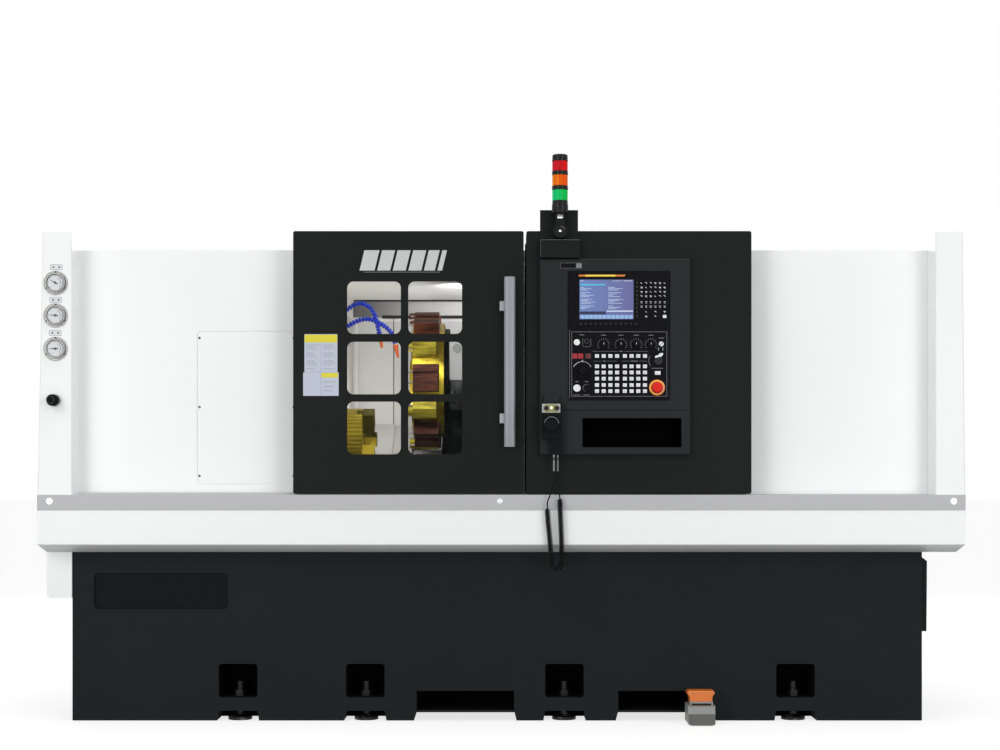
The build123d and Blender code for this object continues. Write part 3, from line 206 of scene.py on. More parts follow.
class Value:
    """A socket of a shader being built; arithmetic on it adds Math nodes"""

    def __init__(self, nodes, socket):
        self.nodes = nodes
        self.socket = socket

    def math(self, operation, *others):
        sockets = dict(enumerate((self, *others)))
        made = self.nodes.node("ShaderNodeMath", {"operation": operation}, sockets)
        return Value(self.nodes, made.outputs[0])

    def flipped(self, operation, other):
        made = self.nodes.node("ShaderNodeMath", {"operation": operation}, {0: other, 1: self})
        return Value(self.nodes, made.outputs[0])

    def __add__(self, other):
        return self.math("ADD", other)

    def __radd__(self, other):
        return self.flipped("ADD", other)

    def __sub__(self, other):
        return self.math("SUBTRACT", other)

    def __rsub__(self, other):
        return self.flipped("SUBTRACT", other)

    def __mul__(self, other):
        return self.math("MULTIPLY", other)

    def __rmul__(self, other):
        return self.flipped("MULTIPLY", other)

    def above(self, limit):
        return self.math("GREATER_THAN", limit)

    def below(self, limit):
        return self.math("LESS_THAN", limit)

    def within(self, low, high):
        return self.above(low) * self.below(high)

    def ramp(self, low, high):
        """0 at low, 1 at high, straight between"""
        sockets = {"Value": self, "From Min": low, "From Max": high}
        made = self.nodes.node("ShaderNodeMapRange", None, sockets)
        return Value(self.nodes, made.outputs[0])


class Shader:
    """The nodes of one shader"""

    def __init__(self, tree):
        self.tree = tree
        tree.nodes.clear()

    def feed(self, socket, value):
        if isinstance(value, Value):
            self.tree.links.new(value.socket, socket)
        elif isinstance(value, bpy.types.NodeSocket):
            self.tree.links.new(value, socket)
        else:
            socket.default_value = value

    def node(self, kind, settings=None, sockets=None):
        """Add a node; its settings come first, then the values or links of its sockets"""
        made = self.tree.nodes.new(kind)
        for key, value in (settings or {}).items():
            setattr(made, key, value)
        for key, value in (sockets or {}).items():
            self.feed(made.inputs[key], value)
        return made

    def seen(self):
        """1 for what the camera sees, straight, mirrored or through glass"""
        rays = self.node("ShaderNodeLightPath").outputs
        made = Value(self, rays["Is Camera Ray"])
        for kind in ("Is Glossy Ray", "Is Transmission Ray"):
            made = made.math("MAXIMUM", rays[kind])
        return made


class Finish(Shader):
    """One material made of nodes"""

    def __init__(self, name):
        self.material = bpy.data.materials.new(name)
        self.material.use_nodes = True
        super().__init__(self.material.node_tree)
        self.output = self.node("ShaderNodeOutputMaterial")
        self.surface = self.node("ShaderNodeBsdfPrincipled")
        self.feed(self.output.inputs[0], self.surface.outputs[0])

    def set(self, **values):
        """Constants or links on the surface shader's own sockets"""
        for key, value in values.items():
            self.feed(self.surface.inputs[key.replace("_", " ")], value)

    def place(self):
        """Position in the row frame, as every piece keeps its origin there"""
        return self.node("ShaderNodeTexCoord").outputs["Object"]

    def axes(self):
        parts = self.node("ShaderNodeSeparateXYZ", None, {0: self.place()})
        return [Value(self, parts.outputs[i]) for i in range(3)]

    def noise(self, scale, detail=2.0, stretch=(1, 1, 1)):
        """Noise between 0 and 1, finer along an axis whose stretch is larger"""
        spread = self.node("ShaderNodeMapping", None, {"Vector": self.place(), "Scale": stretch})
        sockets = {"Vector": spread.outputs[0], "Scale": scale, "Detail": detail}
        return Value(self, self.node("ShaderNodeTexNoise", None, sockets).outputs[0])

    def blend(self, factor, first, second):
        """Colour between first and second"""
        sockets = {0: factor, 6: first, 7: second}
        return self.node("ShaderNodeMix", {"data_type": "RGBA"}, sockets).outputs[2]

    def bump(self, height, strength=0.2, distance=0.0005):
        sockets = {"Strength": strength, "Distance": distance, "Height": height}
        self.feed(self.surface.inputs["Normal"], self.node("ShaderNodeBump", None, sockets).outputs[0])

    def about(self, axis):
        """Heights over an axis along x, given as (y, z) in millimetres: first along y, then along z"""
        y, z = self.axes()[1:]
        return y - axis[0] * MM, z - axis[1] * MM


def shade(colour, factor):
    return tuple(min(c * factor, 1) for c in colour[:3]) + (1,)


def enamel(name, colour, rough=0.4, peel=0.12, tone=0.05, coat=0.0, sheen=0.5):
    """Sprayed paint: a slight orange peel, faint changes of tone and uneven gloss"""
    finish = Finish(name)
    cloud = finish.noise(1.7, 3)
    grain = finish.noise(420, 2)
    finish.set(
        Base_Color=finish.blend(cloud, shade(colour, 1 - tone), shade(colour, 1 + tone)),
        Roughness=grain * 0.08 + (rough - 0.04),
        Coat_Weight=coat,
        Coat_Roughness=0.2,
        Specular_IOR_Level=sheen,
    )
    finish.bump(grain, peel, 0.0004)
    return finish.material


def cast_paint(name, colour, rough=0.55, sheen=0.5):
    """Thick paint on a casting: a soft waviness under a finer grain"""
    finish = Finish(name)
    wave = finish.noise(26, 3)
    grain = finish.noise(300, 3)
    finish.set(
        Base_Color=finish.blend(finish.noise(3, 4), shade(colour, 0.88), shade(colour, 1.12)),
        Roughness=grain * 0.16 + (rough - 0.08),
        Specular_IOR_Level=sheen,
    )
    finish.bump(wave * 0.7 + grain * 0.3, 0.22, 0.0009)
    return finish.material


def brushed(name, colour, rough=0.3, along="z", metallic=1.0, streak=0.12):
    """Metal with fine lines along one axis"""
    finish = Finish(name)
    stretch = [900 if axis != along else 14 for axis in "xyz"]
    lines = finish.noise(1.0, 2, stretch)
    finish.set(
        Base_Color=finish.blend(lines, shade(colour, 0.9), shade(colour, 1.08)),
        Metallic=metallic,
        Roughness=lines * streak + (rough - streak / 2),
    )
    finish.bump(lines, 0.12, 0.0002)
    return finish.material


def moulded(name, colour, rough=0.45, grain_size=900, depth=0.15, coat=0.0, sheen=0.5):
    """Moulded plastic with a fine spark texture"""
    finish = Finish(name)
    grain = finish.noise(grain_size, 2)
    finish.set(
        Base_Color=finish.blend(finish.noise(40, 2), shade(colour, 0.92), shade(colour, 1.08)),
        Roughness=grain * 0.1 + (rough - 0.05),
        Coat_Weight=coat,
        Coat_Roughness=0.1,
        Specular_IOR_Level=sheen,
    )
    finish.bump(grain, depth, 0.0002)
    return finish.material


def printed(name, colour, rough=0.5, glow=0.0):
    """Ink or film with a little unevenness; glow makes it a lit field"""
    finish = Finish(name)
    speck = finish.noise(600, 2)
    tint = finish.blend(speck, shade(colour, 0.96), shade(colour, 1.03))
    finish.set(Base_Color=tint, Roughness=speck * 0.08 + (rough - 0.04))
    if glow:
        finish.set(Emission_Color=tint, Emission_Strength=glow)
    return finish.material


def screen_finish(left, right, glow):
    """Lit display whose tone turns from blue on the left to violet on the right"""
    finish = Finish("screen_blue")
    x = finish.axes()[0]
    speck = finish.noise(600, 2)
    tint = finish.blend(x.ramp(0.3, 0.505), left, right)
    finish.set(
        Base_Color=tint,
        Roughness=speck * 0.08 + 0.3,
        Specular_IOR_Level=0.2,
        Emission_Color=tint,
        Emission_Strength=glow,
    )
    return finish.material


def lens(name, left, right, glow):
    """Tinted lamp lens with painted light: its colour turns from its lit left side to the right, deeper
    between faint upright flutes, and a faint glow evens out its shading
    """
    finish = Finish(name)
    x = finish.axes()[0]
    ripple = finish.noise(1, 2, (160, 160, 4))
    # painted light: the tint turns across the lens from its lit left side to the other, and a faint glow
    # evens out its shading
    across = x.ramp((TOWER[0] - 24) * MM, (TOWER[0] + 16) * MM)
    tint = finish.blend(across, left, right)
    deep = finish.blend(ripple.ramp(0.35, 0.7), tint, shade(right, 0.62))
    finish.set(
        Base_Color=deep,
        Roughness=ripple * 0.15 + 0.35,
        Specular_IOR_Level=0.12,
        Emission_Color=deep,
        Emission_Strength=glow,
    )
    return finish.material


def base_paint(colour):
    """Casting paint of the base, with painted shade: near black within the pockets and fork tunnels, where
    shade falls
    """
    finish = Finish("base_grey")
    x, y, z = finish.axes()
    wave = finish.noise(26, 3)
    grain = finish.noise(300, 3)
    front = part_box("base_casting")[0].y
    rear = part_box("base_casting")[1].y
    pocket_top = 0.226
    pockets = (-1.2, 1.4)
    name_recess_bottom = 0.4
    # painted shade: the pockets' and fork tunnels' inner faces are painted near black
    pocket_shade = y.within(front + 0.006, rear - 0.006) * z.below(pocket_top) * x.within(*pockets)
    field = y.within(front + 0.002, front + 0.02) * z.above(name_recess_bottom)
    tone = finish.blend(finish.noise(3, 4), shade(colour, 0.9), shade(colour, 1.1))
    tone = finish.blend(pocket_shade, tone, (0.0007, 0.0008, 0.001, 1))
    finish.set(
        Base_Color=finish.blend(field, tone, (0.0035, 0.0042, 0.0055, 1)),
        Roughness=grain * 0.16 + pocket_shade * 0.4 + 0.5,
        Specular_IOR_Level=0.08,
    )
    finish.bump(wave * 0.5 + grain * 0.3 + field * finish.noise(120, 3) * 2.5, 0.22, 0.0009)
    return finish.material


def lining_paint():
    """Light sheet lining the enclosure, darker below a level; the top cover's underside is painted lighter
    as painted light from the lamps there, and the raised band under it has painted shade on its left
    """
    finish = Finish("lining")
    x, y, z = finish.axes()
    grain = finish.noise(420, 2)
    # painted shade: the raised band turns dark towards its left
    band = z.within(BAND[0] * MM, BAND[1] * MM) * y.above(0.46)
    shadow = x.ramp(-0.62, -0.2)
    # painted light: the underside of the top cover is painted lighter, as lit by the lamps near it
    under = z.above(1.757) * y.below(WALL_FACE * MM)
    plain = finish.blend(z.above(1.66), (0.62, 0.62, 0.63, 1), (0.84, 0.84, 0.84, 1))
    plain = finish.blend(under, plain, (0.9, 0.9, 0.89, 1))
    shaded = finish.blend(shadow, (0.14, 0.14, 0.14, 1), (0.72, 0.72, 0.71, 1))
    finish.set(
        Base_Color=finish.blend(band, plain, shaded),
        Roughness=grain * 0.08 + 0.45,
        Specular_IOR_Level=0.3,
    )
    finish.bump(grain, 0.06, 0.0004)
    return finish.material


def turret_finish():
    """Gold-coloured turret disc, whose stations in turn are browned by hot chips"""
    finish = Finish("turret_metal")
    x = finish.axes()[0]
    away_y, away_z = finish.about(TURRET)
    radius = (away_y * away_y + away_z * away_z).math("SQRT")
    rings = (radius * 1400 + x * 1120).math("SINE")
    film = finish.noise(16, 4)
    gold = finish.blend(film.ramp(0.35, 0.7), (0.6, 0.46, 0.04, 1), (0.2, 0.14, 0.012, 1))
    scratch = finish.noise(1, 3, (30, 400, 30)).ramp(0.6, 0.75)
    finish.set(
        Base_Color=finish.blend(scratch, gold, (0.1, 0.07, 0.01, 1)),
        Metallic=0.9,
        Roughness=film * 0.25 + 0.2,
    )
    finish.bump(rings * 0.4 + film, 0.12, 0.0004)
    return finish.material


def holder_finish():
    """Red-brown holders with smeared coolant, and gold ones between them"""
    finish = Finish("holder_brown")
    z = finish.axes()[2]
    away_y, away_z = finish.about(TURRET)
    angle = away_z.math("ARCTAN2", away_y)
    gold_turn = (angle * 6).math("COSINE").below(0) * z.below(1.56)
    smear = finish.noise(1, 3, (12, 60, 60))
    wave = finish.noise(30, 3)
    brown = finish.blend(smear.ramp(0.35, 0.7), (0.19, 0.055, 0.03, 1), (0.045, 0.017, 0.014, 1))
    gold = finish.blend(smear.ramp(0.4, 0.75), (0.8, 0.68, 0.07, 1), (0.3, 0.22, 0.016, 1))
    finish.set(
        Base_Color=finish.blend(gold_turn, brown, gold),
        Metallic=0.25,
        Roughness=wave * 0.2 + 0.3,
        Specular_IOR_Level=0.2,
    )
    finish.bump(wave, 0.25, 0.0008)
    return finish.material


def chuck_finish():
    """Gold-coloured chuck with turned rings and fluted ridges round its rim, painted darker along part of
    each flute as painted shade between the light ridges
    """
    finish = Finish("chuck_metal")
    away_y, away_z = finish.about(SPINDLE)
    angle = away_z.math("ARCTAN2", away_y)
    flutes = (angle * 46).math("SINE")
    # painted shade: the flutes are painted darker in bands, beside the lighter ridges
    rim = flutes.above(0.2)
    film = finish.noise(16, 4)
    gold = finish.blend(film.ramp(0.3, 0.75), (0.8, 0.62, 0.05, 1), (0.42, 0.3, 0.02, 1))
    finish.set(
        Base_Color=finish.blend(rim * 0.6, gold, (0.3, 0.21, 0.015, 1)),
        Metallic=0.45,
        Roughness=film * 0.2 + 0.22,
    )
    finish.bump(flutes * 0.8 + film * 0.4, 0.5, 0.002)
    return finish.material


def jaw_finish():
    """Jaws of one metal in two tones by height, as painted light and shade: dark olive above the chuck's
    axis, gold below it, with fine serrations
    """
    finish = Finish("jaw_metal")
    z = finish.axes()[2]
    teeth = (z * 1900).math("SINE")
    film = finish.noise(30, 4)
    olive = finish.blend(film, (0.1, 0.085, 0.008, 1), (0.2, 0.17, 0.02, 1))
    gold = finish.blend(film, (0.5, 0.38, 0.03, 1), (0.72, 0.56, 0.05, 1))
    finish.set(
        # painted light and shade: the jaws are painted gold below the axis and dark olive above it
        Base_Color=finish.blend(z.below(1.116), olive, gold),
        Metallic=0.7,
        Roughness=film * 0.2 + 0.35,
    )
    finish.bump(teeth * 0.4 + film, 0.3, 0.0005)
    return finish.material


def slide_paint(name, limit):
    """Light casting paint that turns to mottled near-black iron below a level"""
    finish = Finish(name)
    z = finish.axes()[2]
    wave = finish.noise(26, 3)
    mottle = finish.noise(9, 4)
    iron = finish.blend(mottle.ramp(0.5, 0.62), (0.006, 0.006, 0.006, 1), (0.06, 0.06, 0.06, 1))
    finish.set(
        Base_Color=finish.blend(z.below(limit), (0.86, 0.86, 0.85, 1), iron),
        Roughness=wave * 0.2 + 0.35,
        Specular_IOR_Level=0.4,
    )
    finish.bump(wave, 0.22, 0.0009)
    return finish.material


def pad_finish():
    """Dark steel of pads and bolts, with painted highlights: bright streaks low down stand in for the lamps'
    glints on the pads' domes
    """
    finish = Finish("pad_steel")
    z = finish.axes()[2]
    # painted highlight: bright metallic streaks near the floor stand in for glints on the pads
    streak = finish.noise(1, 3, (40, 40, 160)).ramp(0.52, 0.72)
    low = z.below(0.04)
    finish.set(
        Base_Color=finish.blend(streak * low, (0.004, 0.004, 0.005, 1), (0.16, 0.16, 0.16, 1)),
        Metallic=streak * low * 0.7,
        Roughness=0.38,
        Specular_IOR_Level=0.2,
    )
    finish.bump(finish.noise(60, 3), 0.2, 0.0006)
    return finish.material


def clear_glass(name, tint, alpha):
    """Thin clear glazing"""
    finish = Finish(name)
    smear = finish.noise(7, 3)
    finish.set(
        Base_Color=tint,
        Roughness=smear * 0.05 + 0.02,
        Alpha=smear * 0.02 + alpha,
        Specular_IOR_Level=0.12,
    )
    return finish.material


FINISHES = {}


def finish_of(name):
    return FINISHES[name]


def mix_finishes(paint):
    """Every material of the machine, by its plain name"""
    made = {
        "sheet white": enamel("sheet_white", paint.sheet_white, 0.42, 0.06, 0.012, 0.15),
        "door black": enamel("door_black", paint.door_black, 0.5, 0.1, 0.05, 0.0, 0.1),
        "housing grey": enamel("housing_grey", paint.housing_grey, 0.5, 0.12, 0.04, 0.0, 0.12),
        "strip grey": enamel("strip_grey", paint.strip_grey, 0.45, 0.08, 0.02),
        "base grey": base_paint(paint.base_grey),
        "fold shade": enamel("fold_shade", screen_colour(98, 112, 99), 0.6, 0.06, 0.03),
        "lining": lining_paint(),
        "casting": cast_paint("casting_light", (0.52, 0.53, 0.53, 1), 0.45),
        "cabinet white": enamel("cabinet_white", (0.7, 0.71, 0.71, 1), 0.45, 0.12, 0.02),
        "ground steel": brushed("ground_steel", (0.56, 0.56, 0.57, 1), 0.3, "x"),
        "bright zinc": brushed("bright_zinc", (0.72, 0.72, 0.73, 1), 0.28, "z", 1.0, 0.1),
        "gauge steel": brushed("gauge_steel", (0.36, 0.36, 0.35, 1), 0.35, "z", 0.85, 0.1),
        "dark steel": pad_finish(),
        "gland chrome": moulded("gland_chrome", (0.004, 0.004, 0.005, 1), 0.12, 900, 0.1, 1.0, 0.6),
        "handle metal": brushed("handle_metal", (0.3, 0.31, 0.33, 1), 0.4, "z", 0.7, 0.16),
        "handle face": brushed("handle_face", (0.235, 0.242, 0.26, 1), 0.45, "z", 0.6, 0.16),
        "chuck metal": chuck_finish(),
        "turret metal": turret_finish(),
        "jaw metal": jaw_finish(),
        "head paint": slide_paint("head_paint", 1.365),
        "carriage iron": slide_paint("carriage_iron", 3.0),
        "holder brown": holder_finish(),
        "pendant black": moulded("pendant_black", (0.0028, 0.0032, 0.0042, 1), 0.55, 900, 0.15, 0.0, 0.08),
        "bit steel": brushed("bit_steel", (0.8, 0.78, 0.74, 1), 0.25, "y", 0.9, 0.1),
        "seam and shade dark": printed("seam_and_shade_dark", (0.012, 0.012, 0.012, 1), 0.8),
        "seam light": printed("seam_light", (0.8, 0.8, 0.8, 1), 0.6),
        "black plastic": moulded("black_plastic", (0.008, 0.008, 0.009, 1), 0.42, 900, 0.15, 0.0, 0.2),
        "panel black": moulded("panel_black", (0.0012, 0.0012, 0.002, 1), 0.5, 700, 0.08, 0.0, 0.08),
        "recess black": moulded("recess_black", (0.0004, 0.0004, 0.0004, 1), 0.8, 900, 0.05, 0.0, 0.02),
        "key black": moulded("key_black", (0.012, 0.012, 0.013, 1), 0.35, 900, 0.1, 0.0, 0.25),
        "key white": moulded("key_white", (0.8, 0.8, 0.82, 1), 0.35, 900, 0.05),
        "button white": moulded("button_white", (0.86, 0.87, 0.9, 1), 0.2, 900, 0.03, 0.4),
        "stop red": moulded("stop_red", (0.75, 0.012, 0.006, 1), 0.3, 900, 0.03, 0.1, 0.2),
        "collar yellow": moulded("collar_yellow", (0.85, 0.24, 0.02, 1), 0.3, 900, 0.04, 0.5),
        "tower dark": moulded("tower_dark", (0.0015, 0.0015, 0.0025, 1), 0.3, 900, 0.05, 0.0, 0.2),
        "lens red": lens("lens_red", (0.6, 0.008, 0.03, 1), (0.7, 0.008, 0.008, 1), 0.1),
        "lens orange": lens("lens_orange", (0.85, 0.26, 0.008, 1), (0.82, 0.1, 0.002, 1), 0.14),
        "lens green": lens("lens_green", (0.012, 0.62, 0.26, 1), (0.002, 0.55, 0.08, 1), 0.14),
        "hose blue": moulded("hose_blue", (0.008, 0.04, 0.55, 1), 0.3, 900, 0.03, 0.1),
        "nozzle orange": moulded("nozzle_orange", (0.85, 0.16, 0.02, 1), 0.35, 900, 0.03, 0.2),
        "cord black": moulded("cord_rubber", (0.001, 0.001, 0.0012, 1), 0.25, 500, 0.04, 0.0, 0.12),
        "pedal orange": enamel("pedal_orange", (0.72, 0.17, 0.012, 1), 0.35, 0.08, 0.06, 0.3),
        # painted highlight along the foot pedal's edges
        "pedal edge highlight": enamel("pedal_edge_highlight", (0.8, 0.33, 0.1, 1), 0.35, 0.08, 0.06, 0.3),
        "switch grey": cast_paint("switch_grey", (0.25, 0.26, 0.25, 1), 0.5),
        "switch dark": cast_paint("switch_dark", (0.1, 0.1, 0.095, 1), 0.55),
        "switch brown": enamel("switch_brown", (0.16, 0.11, 0.085, 1), 0.5),
        "glazing": clear_glass("glazing", (0.05, 0.055, 0.055, 1), 0.03),
        "dial glass": clear_glass("dial_glass", (0.6, 0.65, 0.65, 1), 0.03),
        "ink white": printed("ink_white", (0.75, 0.75, 0.76, 1)),
        "ink grey": printed("ink_grey", (0.2, 0.2, 0.21, 1)),
        "ink dim": printed("ink_dim", (0.11, 0.11, 0.115, 1)),
        "ink black": printed("ink_black", (0.012, 0.012, 0.014, 1)),
        "field pale": printed("field_pale", screen_colour(190, 197, 212)),
        "field yellow": printed("field_yellow", screen_colour(222, 210, 48)),
        "field silver": printed("field_silver", screen_colour(196, 197, 197), 0.4),
        "dial white": printed("dial_white", screen_colour(224, 228, 232), 0.4),
        "screen blue": screen_finish(screen_colour(96, 116, 164), screen_colour(92, 92, 136), 0.42),
        "screen pale": printed("screen_pale", screen_colour(180, 190, 210), 0.3, 0.45),
        "screen cyan": printed("screen_cyan", screen_colour(60, 176, 196), 0.3, 0.45),
        "screen navy": printed("screen_navy", screen_colour(16, 24, 62), 0.3, 0.2),
        "screen tab": printed("screen_tab", screen_colour(126, 158, 196), 0.3, 0.4),
        # painted light: the display's trim strips glow a little, though they are no lamps
        "strip yellow": printed("strip_yellow", screen_colour(236, 200, 70), 0.4, 0.12),
        "strip orange": printed("strip_orange", screen_colour(206, 120, 36), 0.4, 0.1),
        "digit red": printed("digit_red", screen_colour(150, 16, 36), 0.3, 0.25),
        "digit dark": printed("digit_dark", screen_colour(62, 18, 24), 0.3, 0.1),
        "pendant plate": printed("pendant_plate", screen_colour(172, 172, 166), 0.4),
        # painted light: the pendant's gold field and the ring round its lamp glow a little, though they are
        # no lamps
        "pendant gold": printed("pendant_gold", screen_colour(140, 138, 92), 0.4, 0.1),
        "lit lamp": printed("lit_lamp", screen_colour(250, 250, 205), 0.3, 1.6),
    }
    FINISHES.update(made)


# Mesh building, in millimetres

def piece(name, body, finish, build, sharp=35.0, replaces=()):
    """A mesh that build(bm) makes in millimetres, riding on a body in the row frame"""
    bm = bmesh.new()
    build(bm)
    bmesh.ops.recalc_face_normals(bm, faces=bm.faces)
    for face in bm.faces:
        face.smooth = True
    for edge in bm.edges:
        edge.smooth = len(edge.link_faces) == 2 and edge.calc_face_angle(0) < radians(sharp)
    bmesh.ops.scale(bm, vec=(MM, MM, MM), verts=bm.verts)
    mesh = bpy.data.meshes.new(name)
    bm.to_mesh(mesh)
    bm.free()
    made = bpy.data.objects.new(name, mesh)
    bpy.context.scene.collection.objects.link(made)
    mesh.materials.append(finish_of(finish))
    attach(made, body)
    if replaces:
        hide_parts(*replaces)
    return made


def block(bm, low, high, round_by=0.0):
    """Box between two corners with its edges rounded"""
    made = bmesh.ops.create_cube(bm, size=1)
    for vert in made["verts"]:
        vert.co = Vector([low[i] if vert.co[i] < 0 else high[i] for i in range(3)])
    if round_by:
        edges = list({edge for vert in made["verts"] for edge in vert.link_edges})
        bmesh.ops.bevel(bm, geom=edges, offset=round_by, segments=2, affect="EDGES", profile=0.5)


def oblong(x, z, width, height, corner=0.0, steps=5):
    """Corner points of a rounded rectangle about (x, z)"""
    if corner <= 0:
        return [
            (x - width / 2, z - height / 2),
            (x + width / 2, z - height / 2),
            (x + width / 2, z + height / 2),
            (x - width / 2, z + height / 2),
        ]
    points = []
    for quarter, (sx, sz) in enumerate(((1, -1), (1, 1), (-1, 1), (-1, -1))):
        cx = x + sx * (width / 2 - corner)
        cz = z + sz * (height / 2 - corner)
        for step in range(steps + 1):
            angle = -pi / 2 + quarter * pi / 2 + step * pi / 2 / steps
            points.append((cx + corner * cos(angle), cz + corner * sin(angle)))
    return points


def circle(x, z, radius, steps=32, start=0.0, sweep=tau):
    count = steps if sweep == tau else steps + 1
    return [
        (x + radius * cos(start + sweep * i / steps), z + radius * sin(start + sweep * i / steps))
        for i in range(count)
    ]


def skin(bm, rings, closed=False):
    """Faces from each ring of points to the next, where one point is a tip; closed, it meets itself"""
    for lower, upper in zip(rings, rings[1:] + (rings[:1] if closed else [])):
        steps = max(len(lower), len(upper))
        if steps == 1:
            continue
        for i in range(steps):
            j = (i + 1) % steps
            if len(lower) == 1:
                bm.faces.new((lower[0], upper[j], upper[i]))
            elif len(upper) == 1:
                bm.faces.new((lower[i], lower[j], upper[0]))
            else:
                bm.faces.new((lower[i], lower[j], upper[j], upper[i]))


def plate(bm, outline, back, front, bevel=0.0):
    """Plate with its outline in the XZ plane, from depth back to depth front"""
    rings = [[bm.verts.new((x, back, z)) for x, z in outline]]
    if bevel:
        rings.append([bm.verts.new((x, front + bevel, z)) for x, z in outline])
        cx = sum(x for x, z in outline) / len(outline)
        cz = sum(z for x, z in outline) / len(outline)
        inner = []
        for x, z in outline:
            away = hypot(x - cx, z - cz) or 1
            keep = (away - bevel) / away
            inner.append(bm.verts.new((cx + (x - cx) * keep, front, cz + (z - cz) * keep)))
        rings.append(inner)
    else:
        rings.append([bm.verts.new((x, front, z)) for x, z in outline])
    skin(bm, rings)
    bm.faces.new(rings[0][::-1])
    bm.faces.new(rings[-1])


def band(bm, outer, inner, back, front):
    """Flat ring between two outlines with the same number of points"""
    rings = [
        [bm.verts.new((x, y, z)) for x, z in outline]
        for y, outline in ((back, outer), (front, outer), (front, inner), (back, inner))
    ]
    skin(bm, rings, True)


def ribbon(bm, points, width, back, front):
    """Flat line of even width along points in the XZ plane"""
    left, right = [], []
    for i, (x, z) in enumerate(points):
        x0, z0 = points[max(i - 1, 0)]
        x1, z1 = points[min(i + 1, len(points) - 1)]
        run = hypot(x1 - x0, z1 - z0) or 1
        nx, nz = -(z1 - z0) / run * width / 2, (x1 - x0) / run * width / 2
        left.append((x + nx, z + nz))
        right.append((x - nx, z - nz))
    plate(bm, left + right[::-1], back, front)


def turn(bm, profile, centre, axis=(0, -1, 0), steps=32, ring=False):
    """Solid turned about an axis; profile is [(distance along it, radius)], and a ring's closes on itself"""
    axis = Vector(axis).normalized()
    side = axis.orthogonal().normalized()
    up = axis.cross(side)
    centre = Vector(centre)
    spokes = [side * cos(tau * i / steps) + up * sin(tau * i / steps) for i in range(steps)]
    rings = []
    for along, radius in profile:
        here = centre + axis * along
        if radius <= 0:
            rings.append([bm.verts.new(here)])
        else:
            rings.append([bm.verts.new(here + spoke * radius) for spoke in spokes])
    skin(bm, rings, ring)
    if len(rings[0]) > 1 and not ring:
        bm.faces.new(rings[0][::-1])
    if len(rings[-1]) > 1 and not ring:
        bm.faces.new(rings[-1])


def dome_screw(bm, x, y, z, radius):
    """Domed screw head with a hexagon socket, standing on the plane at depth y"""
    crown = radius * 0.55
    profile = [(0, radius)]
    for step in range(1, 6):
        angle = step / 6 * pi / 2
        profile.append((crown * sin(angle), radius * (0.45 + 0.55 * cos(angle))))
    profile += [(crown, radius * 0.4), (crown * 0.35, radius * 0.38), (crown * 0.35, 0)]
    turn(bm, profile, (x, y, z), steps=24)


def swung(x, z, degrees, shape):
    """Outline given as (along, across), swung by an angle about (x, z)"""
    run, lift = cos(radians(degrees)), sin(radians(degrees))
    return [(x + run * a - lift * b, z + lift * a + run * b) for a, b in shape]


def level_line(left, right, z):
    return [(left, z), (right, z)]


def turned_at(centres, profile, axis=(0, -1, 0), steps=32, ring=False):
    """A build that turns one profile about every centre"""

    def build(bm):
        for centre in centres:
            turn(bm, profile, centre, axis, steps, ring)

    return build


def plates_of(outlines, back, front):
    """A build of flat plates with these outlines"""

    def build(bm):
        for outline in outlines:
            plate(bm, outline, back, front)

    return build


def lines_of(lines, back, front):
    """A build of flat lines, each given as its points and its width"""

    def build(bm):
        for points, width in lines:
            ribbon(bm, points, width, back, front)

    return build


def bands_of(pairs, back, front):
    """A build of flat rings, each given as its outer and its inner outline"""

    def build(bm):
        for outer, inner in pairs:
            band(bm, outer, inner, back, front)

    return build


def blocks_of(corners, round_by=0.0):
    """A build of boxes, each given as its low and its high corner"""

    def build(bm):
        for low, high in corners:
            block(bm, low, high, round_by)

    return build


def wear(node, finish, width=0.0):
    """Give a carried-over solid its finish, and by modifiers only its rounded edges and smooth shading"""
    crease_angle = radians(35)
    carried = NODES[node]
    carried.data.materials.clear()
    carried.data.materials.append(finish_of(finish))
    for polygon in carried.data.polygons:
        polygon.use_smooth = True
    weld = carried.modifiers.new("weld", "WELD")
    weld.merge_threshold = 0.00001
    if width:
        bevel = carried.modifiers.new("edge", "BEVEL")
        bevel.width = width
        bevel.segments = 2
        bevel.limit_method = "ANGLE"
        bevel.angle_limit = crease_angle
        bevel.harden_normals = False
    split = carried.modifiers.new("crease", "EDGE_SPLIT")
    split.split_angle = crease_angle
    if width:
        weigh = carried.modifiers.new("flats", "WEIGHTED_NORMAL")
        weigh.keep_sharp = True


# Operators, one for each piece or group of pieces

class LatheOperator(bpy.types.Operator):
    """Base of the operators here"""

    bl_options = {"REGISTER", "UNDO"}

    def execute(self, context):
        self.build(context.scene)
        return {"FINISHED"}


class LATHE_OT_finishes(LatheOperator):
    """Mix every paint, metal and plastic of the machine"""

    bl_idname = "lathe.finishes"
    bl_label = "Finishes"

    def build(self, scene):
        mix_finishes(scene.lathe_paint)


